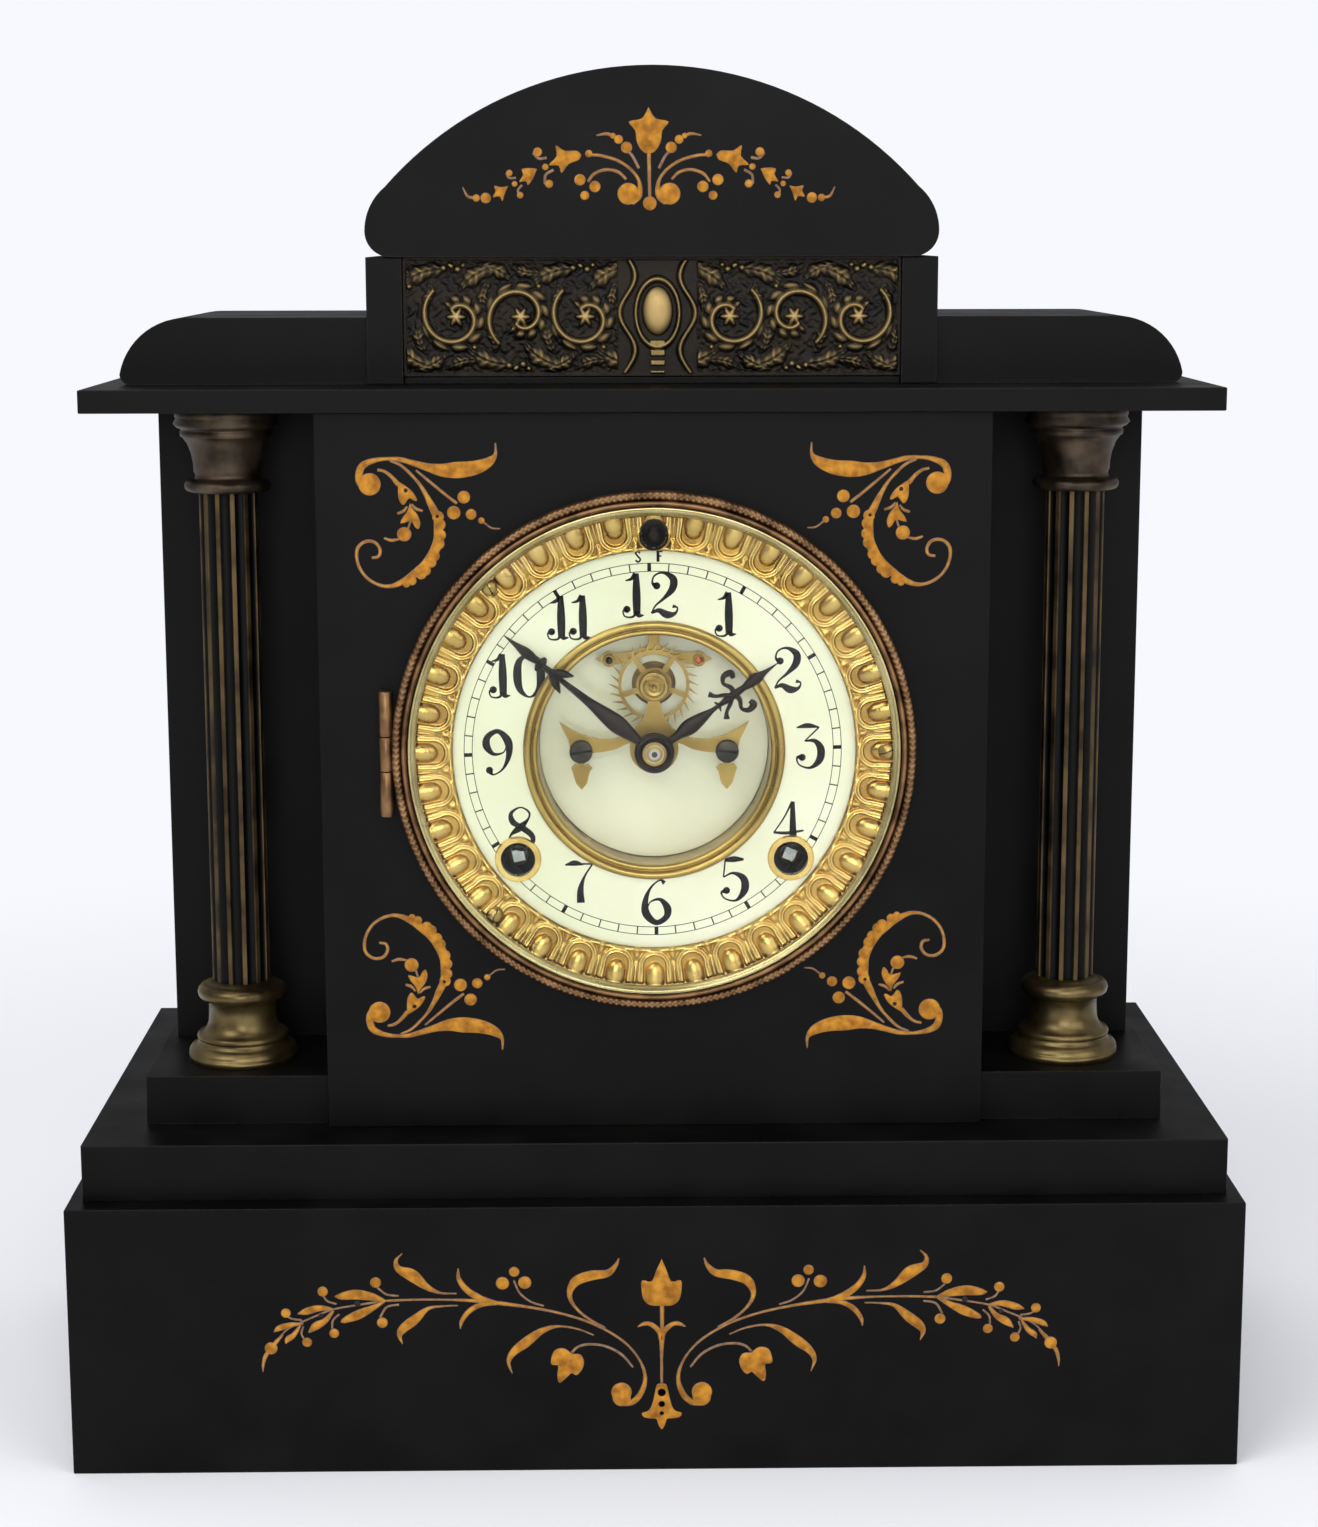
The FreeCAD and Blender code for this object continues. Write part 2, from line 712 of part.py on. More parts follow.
def makeColumns():
    base = facetedTurn("ColumnBase", [
        ("0", "0"),
        ("base_rim_radius", "0"),
        ("base_rim_radius", "base_rim_height"),
        ("base_ovolo_radius", "base_ovolo_height"),
        ("base_lip_radius", "base_lip_height"),
        ("base_scotia_radius", "base_scotia_height"),
        ("base_neck_radius", "base_neck_height"),
        ("base_neck_radius", "base_torus_low"),
        ("base_torus_radius", "base_torus_low + base_torus_edge"),
        ("base_torus_radius", "base_height - base_torus_edge"),
        ("base_torus_radius - base_torus_edge", "base_height"),
        ("0", "base_height"),
    ], "round_sides", "column_offset", "column_y", "floor_z")
    keep("column_bases", pair("ColumnBases", base))

    length = "body_height - base_height - capital_height"
    shaft = doc.addObject("PartDesign::Body", "ColumnShaft")
    round_outline = shaft.newObject("Sketcher::SketchObject", "ShaftCircle")
    round_outline.AttachmentSupport = (originPlane(shaft, "XY_Plane"), [""])
    round_outline.MapMode = "FlatFace"
    round_outline.addGeometry(Part.Circle(FreeCAD.Vector(), FreeCAD.Vector(0, 0, 1),
                                          size("shaft_radius")), False)
    round_outline.addConstraint(Sketcher.Constraint("Coincident", 0, 3, -1, 1))
    number = round_outline.addConstraint(Sketcher.Constraint("Radius", 0, size("shaft_radius")))
    round_outline.setExpression(f"Constraints[{number}]", bound("shaft_radius"))
    pad = shaft.newObject("PartDesign::Pad", "ShaftPad")
    pad.Profile = round_outline
    pad.setExpression("Length", bound(length))
    flute_outline = shaft.newObject("Sketcher::SketchObject", "FluteCircle")
    flute_outline.AttachmentSupport = (originPlane(shaft, "XY_Plane"), [""])
    flute_outline.MapMode = "FlatFace"
    reach = "shaft_radius + flute_radius - flute_depth"
    flute_outline.addGeometry(Part.Circle(FreeCAD.Vector(size(reach), 0, 0),
                                          FreeCAD.Vector(0, 0, 1), size("flute_radius")), False)
    flute_outline.addConstraint(Sketcher.Constraint("PointOnObject", 0, 3, -1))
    number = flute_outline.addConstraint(
        Sketcher.Constraint("DistanceX", -1, 1, 0, 3, size(reach)))
    flute_outline.setExpression(f"Constraints[{number}]", bound(reach))
    number = flute_outline.addConstraint(Sketcher.Constraint("Radius", 0, size("flute_radius")))
    flute_outline.setExpression(f"Constraints[{number}]", bound("flute_radius"))
    flute = shaft.newObject("PartDesign::Pocket", "Flute")
    flute.Profile = flute_outline
    flute.setExpression("Length", bound(f"{length} + overrun"))
    flute.Reversed = True
    flutes = shaft.newObject("PartDesign::PolarPattern", "Flutes")
    flutes.Originals = [flute]
    flutes.Axis = (flute_outline, ["N_Axis"])
    flutes.Angle = 360
    flutes.setExpression("Occurrences", bound("flute_count"))
    shaft.Tip = flutes
    place(shaft, "column_offset", "column_y", "floor_z + base_height")
    keep("column_shafts", pair("ColumnShafts", shaft))

    capital = facetedTurn("ColumnCapital", [
        ("0", "0"),
        ("capital_astragal_radius - capital_astragal_height / 4", "0"),
        ("capital_astragal_radius", "capital_astragal_height / 2"),
        ("capital_astragal_radius - capital_astragal_height / 4", "capital_astragal_height"),
        ("capital_neck_radius", "capital_astragal_height"),
        ("capital_neck_radius", "capital_neck_height"),
        ("capital_cavetto_radius", "capital_cavetto_height"),
        ("capital_ring_radius", "capital_ring_low"),
        ("capital_ring_radius", "capital_ring_high"),
        ("capital_ovolo_radius", "capital_ovolo_height"),
        ("capital_rim_radius", "capital_rim_low"),
        ("capital_rim_radius", "capital_height"),
        ("0", "capital_height"),
    ], "round_sides", "column_offset", "column_y", "roof_z - capital_height")
    keep("column_capitals", pair("ColumnCapitals", capital))


def makeDial():
    ring = turned("GiltRing", [
        ("gilt_inner_radius", "porcelain_setback"),
        ("gilt_crest_radius", "-gilt_crest_rise"),
        ("gilt_outer_radius", "0"),
        ("porcelain_outer_radius", "0"),
        ("porcelain_outer_radius", "porcelain_setback"),
    ], "XY_Plane", y="panel_y", z="dial_height")
    notch = box("RingNotch", "-regulator_hole_radius", "regulator_hole_radius",
                "panel_y - gilt_crest_rise - overrun", "panel_y + porcelain_setback + overrun",
                "dial_height + gilt_inner_radius - overrun", "dial_height + regulator_rise")
    mouth = rod("RingRegulatorHole", "regulator_hole_radius",
                "gilt_crest_rise + porcelain_setback + 2 * overrun", "0",
                "panel_y - gilt_crest_rise - overrun", "dial_height + regulator_rise")
    keep("gilt_dial_ring", cut("GiltDialRing", ring, fuse("RingHoles", notch, mouth)))

    porcelain = turned("ChapterDisc", [
        ("recess_inner_radius + recess_wall + porcelain_seat_gap", "0"),
        ("porcelain_outer_radius", "0"),
        ("porcelain_outer_radius", "porcelain_thickness"),
        ("recess_inner_radius + recess_wall + porcelain_seat_gap", "porcelain_thickness"),
    ], "XY_Plane", y="panel_y + porcelain_setback", z="dial_height")
    start = "panel_y + porcelain_setback - overrun"
    through = "porcelain_thickness + 2 * overrun"
    holes = fuse(
        "ChapterHoles",
        rod("ChapterHoleRight", "grommet_bore", through, "arbor_offset", start, "arbor_z"),
        rod("ChapterHoleLeft", "grommet_bore", through, "-arbor_offset", start, "arbor_z"),
        rod("ChapterRegulatorHole", "regulator_hole_radius - porcelain_seat_gap", through, "0",
            start, "dial_height + regulator_rise"))
    keep("chapter_ring", cut("ChapterRing", porcelain, holes))

    centre_back = "recess_depth_inside + centre_thickness"
    cup = turned("RecessCup", [
        ("recess_lip_radius", "porcelain_setback"),
        ("recess_lip_radius - recess_lip_rise / 2", "porcelain_setback - recess_lip_rise"),
        ("recess_inner_radius", "porcelain_setback - recess_lip_rise"),
        ("recess_inner_radius", centre_back),
        ("recess_inner_radius + recess_back_wall", centre_back),
        ("recess_inner_radius + recess_wall", "porcelain_setback"),
    ], "XY_Plane", y="panel_y", z="dial_height")
    slot = box("AnchorSlot", "-anchor_slot_width / 2", "anchor_slot_width / 2",
               "panel_y + anchor_slot_front", "centre_y + centre_thickness + overrun",
               "dial_height + recess_inner_radius / 2", "dial_height + recess_lip_radius")
    keep("recess_ring", cut("RecessRing", cup, slot))

    disc = rod("CentreDisc", "recess_inner_radius - porcelain_seat_gap", "centre_thickness",
               "0", "centre_y", "dial_height")
    start = "centre_y - overrun"
    through = "centre_thickness + 2 * overrun"
    holes = fuse("CentreHoles",
                 rod("CentrePipeHole", "centre_pipe_hole", through, "0", start, "dial_height"),
                 rod("CentreEscapeHole", "escape_hole_radius", through, "0", start, "escape_z"))
    keep("centre_porcelain", cut("CentrePorcelain", disc, holes))

    grommet = facetedTurn("Grommet", [
        ("grommet_bore", "-grommet_rise"),
        ("grommet_radius - grommet_rise / 2", "-grommet_rise"),
        ("grommet_radius", "0"),
        ("grommet_bore", "0"),
    ], "round_sides", "arbor_offset", "panel_y + porcelain_setback", "arbor_z", "Y")
    keep("winding_grommets", pair("WindingGrommets", grommet))


def makeBezel():
    seat = "glass_radius + porcelain_seat_gap"
    rim = turned("BezelRing", [
        (seat, "-bezel_back_gap"),
        ("bezel_radius", "-bezel_back_gap"),
        ("bezel_radius", "-bezel_side_height"),
        ("bezel_groove_radius", "-bezel_groove_height"),
        ("bezel_bead_radius", "-bezel_bead_height"),
        ("bezel_inner_radius", "-bezel_bead_height + bezel_lip / 2"),
        ("bezel_inner_radius", "-glass_back - glass_thickness + glass_bevel_drop"),
        (seat, "-glass_back - glass_thickness + glass_bevel_drop"),
    ], "XY_Plane", y="panel_y", z="dial_height")
    half = "hinge_centre_length / 2"
    knuckle = bar("BezelKnuckle", "hinge_radius", "hinge_centre_length", "-hinge_axis_x",
                  "hinge_y", f"dial_height - {half}", "Z")
    tab = box("BezelTab", "-hinge_axis_x", "-bezel_radius + hinge_radius",
              "hinge_y", "panel_y - bezel_back_gap",
              f"dial_height - {half}", f"dial_height + {half}")
    bore = bar("BezelKnuckleBore",
               "(hinge_pin_radius + running_clearance) * bar_corner_share",
               "hinge_length + 2 * overrun", "-hinge_axis_x", "hinge_y",
               "dial_height - hinge_length / 2 - overrun", "Z")
    keep("bezel_rim", cut("BezelRim", fuse("BezelBody", rim, knuckle, tab), bore))
    keep("bezel_glass", turned("BezelGlass", [
        ("0", "-glass_back"),
        ("glass_radius", "-glass_back"),
        ("glass_radius", "-glass_back - glass_thickness + glass_bevel_drop"),
        ("bezel_inner_radius - seat_clearance",
         "-glass_back - glass_thickness + glass_bevel_drop"),
        ("glass_radius - glass_bevel_width", "-glass_back - glass_thickness"),
        ("0", "-glass_back - glass_thickness"),
    ], "XY_Plane", y="panel_y", z="dial_height"))

    keep("bezel_hinge", hingeLeaf("BezelHinge", "-hinge_axis_x", "hinge_y", "panel_y", "hinge",
                                  "-"))


def hingeLeaf(name, axis_x, axis_y, face_y, prefix, outward):
    # The fixed half of a hinge: its pin, two knuckles and a leaf on the face behind them.
    length = f"({prefix}_length - {prefix}_centre_length) / 2 - hinge_knuckle_gap"
    lower = f"dial_height - {prefix}_length / 2"
    upper = f"dial_height + {prefix}_length / 2 - ({length})"
    pieces = [bar(name + "Pin", "hinge_pin_radius", f"{prefix}_length", axis_x, axis_y, lower,
                  "Z")]
    front, back = sorted([axis_y, face_y], key=size)
    leaf_front, leaf_back = sorted([face_y, f"{face_y} + ({axis_y} - ({face_y})) / 3"],
                                   key=size)
    for number, start in enumerate((lower, upper), start=1):
        pieces.append(bar(f"{name}Knuckle{number}", f"{prefix}_radius", length, axis_x, axis_y,
                          start, "Z"))
        near, far = sorted([axis_x, f"{axis_x} {outward} hinge_leaf_reach"], key=size)
        pieces.append(box(f"{name}Leaf{number}", near, far, leaf_front, leaf_back, start,
                          f"{start} + {length}"))
        near, far = sorted([axis_x, f"{axis_x} {outward} {prefix}_radius"], key=size)
        pieces.append(box(f"{name}Web{number}", near, far, front, back, start,
                          f"{start} + {length}"))
    return fuse(name, *pieces)


def makeRearDoor():
    disc = rod("DoorDisc", "door_radius", "door_thickness", "0", "door_y", "dial_height")
    axis_y = "door_y + door_hinge_radius"
    half = "door_hinge_centre_length / 2"
    knuckle = bar("DoorKnuckle", "door_hinge_radius", "door_hinge_centre_length",
                  "door_hinge_x", axis_y, f"dial_height - {half}", "Z")
    tab = box("DoorTab", "door_radius - 2 * door_hinge_radius", "door_hinge_x", "door_y",
              axis_y, f"dial_height - {half}", f"dial_height + {half}")
    knob = bar("DoorKnob", "door_knob_radius", "door_knob_length",
               "2 * door_knob_radius - door_radius", "door_y + door_thickness", "dial_height")
    bore = bar("DoorBore", "(hinge_pin_radius + running_clearance) * bar_corner_share",
               "door_hinge_length + 2 * overrun", "door_hinge_x", axis_y,
               "dial_height - door_hinge_length / 2 - overrun", "Z")
    slots = []
    count = int(size("door_slot_count"))
    half_width = size("door_slot_width / 2")
    inner = size("door_slot_inner")
    outer = size("door_slot_outer")
    for number in range(count):
        slot = plate([(-half_width, inner), (half_width, inner), (half_width, outer),
                      (-half_width, outer)], "door_thickness + 2 * overrun")
        slot.rotate(FreeCAD.Vector(), FreeCAD.Vector(0, 1, 0), 360 * number / count)
        slots.append(slot)
    pattern = solidOf("DoorSlots", Part.makeCompound(slots), "0", "door_y - overrun",
                      "dial_height")
    solid = cut("DoorDrilled", cut("DoorPierced", disc, pattern),
                rod("DoorHingeRelief", "door_hinge_radius + seat_clearance",
                    "door_hinge_length + 2 * overrun", "door_hinge_x", axis_y,
                    "dial_height - door_hinge_length / 2 - overrun", "Z"))
    keep("rear_door", cut("RearDoor", fuse("DoorBody", solid, knuckle, tab, knob), bore))
    keep("rear_door_hinge", hingeLeaf("RearDoorHinge", "door_hinge_x", axis_y, "body_back_y",
                                      "door_hinge", "+"))


def makePlates():
    corners = [("left", "-plate_width / 2"), ("right", "plate_width / 2")]
    heights = {"top": "dial_height + plate_top", "bottom": "dial_height - plate_bottom"}
    arbor_hole = "arbor_radius + running_clearance"
    main_hole = "main_arbor_radius + running_clearance"
    holes = {
        "Anchor": ("arbor_radius + seat_clearance", "0", "anchor_z"),
        "Regulator": (arbor_hole, "0", "dial_height + regulator_rise"),
        "Centre": ("centre_arbor_radius + running_clearance", "0", "dial_height"),
        "MainRight": (main_hole, "arbor_offset", "arbor_z"),
        "MainLeft": (main_hole, "-arbor_offset", "arbor_z"),
        "Escape": (arbor_hole, "0", "escape_z"),
        "Hammer": (arbor_hole, "-hammer_offset", "dial_height - hammer_drop"),
    }
    passing = {"Front": ("Anchor", "Regulator", "Centre", "MainRight", "MainLeft", "Escape"),
               "Back": ("Anchor", "Regulator", "Hammer")}
    for label, y in (("Front", "plate_front_y"), ("Back", "plate_back_y")):
        main = box(label + "Sheet", corners[0][1], corners[1][1], y,
                   f"{y} + plate_thickness", heights["bottom"], heights["top"])
        ear = box(label + "Ear", "-plate_ear_width / 2", "plate_ear_width / 2", y,
                  f"{y} + plate_thickness", f"{heights['top']} - overrun",
                  "dial_height + regulator_rise + plate_ear_width / 2")
        sheet_metal = fuse(label + "Blank", main, ear)
        tools = []
        for hole in passing[label]:
            radius, x, z = holes[hole]
            tools.append(bar(f"{label}Hole{hole}", f"({radius}) * bar_corner_share",
                             "plate_thickness + 2 * overrun", x, f"{y} - overrun", z))
        bare = cut(label + "Drilled", sheet_metal, fuse(label + "Holes", *tools))
        if label == "Back":
            keep("back_plate", bare)
            continue
        feet = []
        for side, x in corners:
            for level, z in heights.items():
                inward = "+ foot_radius" if side == "left" else "- foot_radius"
                upward = "- foot_radius" if level == "top" else "+ foot_radius"
                feet.append(bar(f"Foot_{side}_{level}", "foot_radius",
                                "plate_front_y - panel_back_y", f"{x} {inward}",
                                "panel_back_y", f"{z} {upward}"))
        stud = bar("MinuteStud", "post_radius", "plate_front_y - hour_wheel_y + hand_thickness",
                   "0", "hour_wheel_y - hand_thickness", "dial_height - minute_wheel_drop")
        keep("front_plate", fuse("FrontPlate", bare, stud, *feet))
    pillars = []
    for side, x in corners:
        for level, z in heights.items():
            inward = "+ pillar_inset" if side == "left" else "- pillar_inset"
            upward = "- pillar_inset" if level == "top" else "+ pillar_inset"
            pillars.append(bar(f"Pillar_{side}_{level}", "pillar_radius", "plate_gap",
                               f"{x} {inward}", "train_y", f"{z} {upward}"))
    group = doc.addObject("Part::Compound", "PlatePillars")
    group.Links = pillars
    keep("plate_pillars", group)


def gear(teeth, pitch_radius, start, depth, facing=0.0):
    # A wheel with pointed teeth, one of them turned towards the clockwise angle given.
    teeth = int(size(teeth))
    module = 2 * pitch_radius / teeth
    tip = pitch_radius + size("tooth_tip_share") * module
    root = pitch_radius - size("tooth_root_share") * module
    corners = []
    for number in range(teeth):
        corners.append(polar(tip, facing + 360 * number / teeth))
        corners.append(polar(root, facing + 360 * (number + 0.5) / teeth))
    return plate(corners, depth, start)


def meshOf(first, second, first_teeth, second_teeth):
    # Two wheels in mesh: their pitch radii, and the clockwise angle from the first to the second.
    across = size(second[0]) - size(first[0])
    up = size(second[1]) - size(first[1])
    distance = math.hypot(across, up)
    share = size(first_teeth) / (size(first_teeth) + size(second_teeth))
    angle = math.degrees(math.atan2(across, up))
    return distance * share, distance * (1 - share), angle


def pinionFacing(angle, teeth):
    # A pinion has a gap, half a tooth round, where its wheel has a tooth.
    return angle + 180 + 180 / size(teeth)


axes = {
    "centre": ("0", "dial_height"),
    "time_main": ("arbor_offset", "arbor_z"),
    "strike_main": ("-arbor_offset", "arbor_z"),
    "second": ("second_offset", "dial_height - second_drop"),
    "third": ("-third_offset", "dial_height + third_rise"),
    "escape": ("0", "escape_z"),
    "minute": ("0", "dial_height - minute_wheel_drop"),
    "pin": ("-second_offset", "dial_height - second_drop"),
    "warning": ("-warning_offset", "dial_height + warning_rise"),
    "fly": ("-fly_offset", "dial_height + fly_rise"),
}


def arborBetweenPlates():
    # An arbor that runs from plate to plate.
    return facetedAt(size("arbor_radius"), "plate_gap - 2 * seat_clearance",
                     "train_y + seat_clearance")


def makeTimeTrain():
    great, second_pinion, great_angle = meshOf(axes["time_main"], axes["second"], "great_teeth",
                                               "second_pinion_teeth")
    second, centre_pinion, second_angle = meshOf(axes["second"], axes["centre"], "second_teeth",
                                                 "centre_pinion_teeth")
    centre, third_pinion, centre_angle = meshOf(axes["centre"], axes["third"], "centre_teeth",
                                                "third_pinion_teeth")
    third, escape_pinion, third_angle = meshOf(axes["third"], axes["escape"], "third_teeth",
                                               "escape_pinion_teeth")
    cannon, minute, cannon_angle = meshOf(axes["centre"], axes["minute"], "cannon_teeth",
                                          "minute_teeth")
    minute_pinion, hour, hour_angle = meshOf(axes["minute"], axes["centre"],
                                             "minute_pinion_teeth", "hour_teeth")

    bore = size("main_arbor_radius + running_clearance")
    wheel = gear("great_teeth", great, "train_y + great_plane", "wheel_thickness", great_angle)
    boss = facetedAt(2 * bore, "2 * wheel_thickness", "train_y + great_plane")
    keep("time_great_wheel", solidOf("TimeGreatWheel", wheel.fuse(boss).cut(
        boreAt(bore, "2 * plate_gap", "train_y")), "arbor_offset", "0", "arbor_z"))

    slack = "(pinion_length - wheel_thickness) / 2"
    pinion = gear("second_pinion_teeth", second_pinion, f"train_y + great_plane - {slack}",
                  "pinion_length", pinionFacing(great_angle, "second_pinion_teeth"))
    wheel = gear("second_teeth", second, "train_y + second_plane", "wheel_thickness",
                 second_angle)
    keep("time_second_wheel", solidOf("TimeSecondWheel", arborBetweenPlates().fuse(
        [pinion, wheel]), "second_offset", "0", "dial_height - second_drop"))

    pinion = gear("centre_pinion_teeth", centre_pinion, f"train_y + second_plane - {slack}",
                  "pinion_length", pinionFacing(second_angle, "centre_pinion_teeth"))
    wheel = gear("centre_teeth", centre, "train_y + centre_plane", "wheel_thickness",
                 centre_angle)
    cannon_pinion = gear("cannon_teeth", cannon, "motion_y", "2 * motion_wheel_thickness",
                         cannon_angle)
    post = facetedAt(size("centre_arbor_radius"),
                     "plate_back_y - seat_clearance - panel_y + hand_stack_top",
                     "panel_y - hand_stack_top")
    collet = facetedAt(size("collet_radius"), "collet_height",
                       "panel_y - minute_hand_rise - hand_thickness - collet_height",
                       sides="round_sides")
    keep("centre_arbor", solidOf("CentreArbor", post.fuse([pinion, wheel, cannon_pinion, collet]),
                                 "0", "0", "dial_height"))

    pinion = gear("third_pinion_teeth", third_pinion, f"train_y + centre_plane - {slack}",
                  "pinion_length", pinionFacing(centre_angle, "third_pinion_teeth"))
    wheel = gear("third_teeth", third, "train_y + third_plane", "wheel_thickness", third_angle)
    keep("time_third_wheel", solidOf("TimeThirdWheel", arborBetweenPlates().fuse(
        [pinion, wheel]), "-third_offset", "0", "dial_height + third_rise"))

    wheel = gear("minute_teeth", minute, "motion_y", "motion_wheel_thickness",
                 pinionFacing(cannon_angle, "minute_teeth"))
    pinion = gear("minute_pinion_teeth", minute_pinion, "hour_wheel_y",
                  "motion_y - hour_wheel_y", hour_angle)
    keep("minute_wheel", solidOf("MinuteWheel", wheel.fuse(pinion).cut(
        boreAt(size("post_radius + running_clearance"), "2 * plate_setback", "panel_y")), "0",
        "0", "dial_height - minute_wheel_drop"))

    wheel = gear("hour_teeth", hour, "hour_wheel_y", "motion_wheel_thickness",
                 pinionFacing(hour_angle, "hour_teeth"))
    pipe = facetedAt(size("pipe_radius"), "hour_wheel_y - panel_y + hour_hand_rise",
                     "panel_y - hour_hand_rise", sides="round_sides")
    keep("hour_wheel", solidOf("HourWheel", wheel.fuse(pipe).cut(
        boreAt(size("centre_arbor_radius + running_clearance"), "2 * plate_setback",
               "panel_y - plate_setback / 2")), "0", "0", "dial_height"))

    teeth = int(size("escape_teeth"))
    step = 360 / teeth
    lean_share, heel_share, toe_share = 0.62, -0.16, 0.22
    corners = []
    for number in range(teeth):
        corners.append(polar(size("escape_rim_radius"), step * (number + heel_share)))
        corners.append(polar(size("escape_tip_radius"), step * (number + lean_share)))
        corners.append(polar(size("escape_rim_radius"), step * (number + toe_share)))
    blank = plate(corners, "escape_thickness", "escape_y")
    spokes = int(size("escape_spokes"))
    rim_inner = size("escape_rim_inner")
    hub = size("escape_hub_radius")
    half = size("escape_spoke_width") / 2
    for number in range(spokes):
        begin = 180 + 360 * number / spokes
        end = begin + 360 / spokes
        outer_turn = math.degrees(math.asin(half / rim_inner))
        inner_turn = math.degrees(math.asin(half / hub))
        window = windowShape(hub, rim_inner, begin + inner_turn, end - inner_turn,
                             begin + outer_turn, end - outer_turn)
        blank = blank.cut(window)
    arbor = facetedAt(size("arbor_radius"), "plate_back_y - seat_clearance - bridge_y",
                      "bridge_y")
    pinion = gear("escape_pinion_teeth", escape_pinion, f"train_y + third_plane - {slack}",
                  "pinion_length", pinionFacing(third_angle, "escape_pinion_teeth"))
    keep("escape_wheel", solidOf("EscapeWheel", blank.fuse([arbor, pinion]), "0", "0",
                                 "escape_z"))


def windowShape(inner, outer, inner_begin, inner_end, outer_begin, outer_end):
    # The gap between two spokes: its two curved sides are short straight runs.
    steps = 5
    corners = [polar(outer, outer_begin + (outer_end - outer_begin) * step / steps)
               for step in range(steps + 1)]
    corners += [polar(inner, inner_end + (inner_begin - inner_end) * step / steps)
                for step in range(steps + 1)]
    return plate(corners, "escape_thickness + 2 * overrun", "escape_y - overrun")


def makeStrikeTrain():
    great, pin_pinion, great_angle = meshOf(axes["strike_main"], axes["pin"],
                                            "strike_great_teeth", "strike_pinion_teeth")
    pin, warning_pinion, pin_angle = meshOf(axes["pin"], axes["warning"], "pin_teeth",
                                            "warning_pinion_teeth")
    warning, fly_pinion, warning_angle = meshOf(axes["warning"], axes["fly"], "warning_teeth",
                                                "fly_pinion_teeth")
    slack = "(pinion_length - wheel_thickness) / 2"
    bore = size("main_arbor_radius + running_clearance")
    wheel = gear("strike_great_teeth", great, "train_y + great_plane", "wheel_thickness",
                 great_angle)
    count_y = "train_y + great_plane + count_wheel_plane + wheel_thickness"
    boss = facetedAt(2 * bore, "count_wheel_plane + wheel_thickness + count_wheel_thickness",
                  "train_y + great_plane")
    hours = 12
    strokes = hours * (hours + 1) / 2 + hours
    rim = size("count_wheel_radius")
    root = rim - size("count_wheel_notch")
    corners = []
    place_on_wheel = 0
    for hour in range(1, hours + 1):
        notch_end = place_on_wheel + size("count_notch_share")
        place_on_wheel += hour + 1
        corners += [polar(root, 360 * (notch_end - size("count_notch_share")) / strokes),
                    polar(root, 360 * notch_end / strokes),
                    polar(rim, 360 * notch_end / strokes)]
        steps = hour // 3 + 1
        for step in range(1, steps + 1):
            along = notch_end + (place_on_wheel - notch_end) * step / steps
            corners.append(polar(rim, 360 * along / strokes))
    count_wheel = plate(corners, "count_wheel_thickness", count_y)
    keep("strike_great_wheel", solidOf("StrikeGreatWheel", wheel.fuse([boss, count_wheel]).cut(
        boreAt(bore, "2 * plate_gap", "train_y")), "-arbor_offset", "0", "arbor_z"))

    pinion = gear("strike_pinion_teeth", pin_pinion, f"train_y + great_plane - {slack}",
                  "pinion_length", pinionFacing(great_angle, "strike_pinion_teeth"))
    wheel = gear("pin_teeth", pin, "train_y + pin_plane", "wheel_thickness", pin_angle)
    pins = []
    for number in range(int(size("strike_pin_count"))):
        across, up = polar(size("strike_pin_circle"), 360 * number / size("strike_pin_count"))
        pins.append(facetedAt(size("strike_pin_radius"), "strike_pin_length",
                           "train_y + pin_plane + wheel_thickness", across, up))
    keep("strike_pin_wheel", solidOf("StrikePinWheel", arborBetweenPlates().fuse(
        [pinion, wheel] + pins), "-second_offset", "0", "dial_height - second_drop"))

    pinion = gear("warning_pinion_teeth", warning_pinion, f"train_y + pin_plane - {slack}",
                  "pinion_length", pinionFacing(pin_angle, "warning_pinion_teeth"))
    wheel = gear("warning_teeth", warning, "train_y + warning_plane", "wheel_thickness",
                 warning_angle)
    keep("strike_warning_wheel", solidOf("StrikeWarningWheel", arborBetweenPlates().fuse(
        [pinion, wheel]), "-warning_offset", "0", "dial_height + warning_rise"))

    pinion = gear("fly_pinion_teeth", fly_pinion, f"train_y + warning_plane - {slack}",
                  "pinion_length", pinionFacing(warning_angle, "fly_pinion_teeth"))
    reach = size("fly_reach")
    thick = size("fly_sheet") / 2
    blades = plate([(-reach, -thick), (reach, -thick), (reach, thick), (-reach, thick)],
                   "fly_width", "train_y + warning_plane + pinion_length")
    keep("strike_fly", solidOf("StrikeFly", arborBetweenPlates().fuse([pinion, blades]),
                               "-fly_offset", "0", "dial_height + fly_rise"))


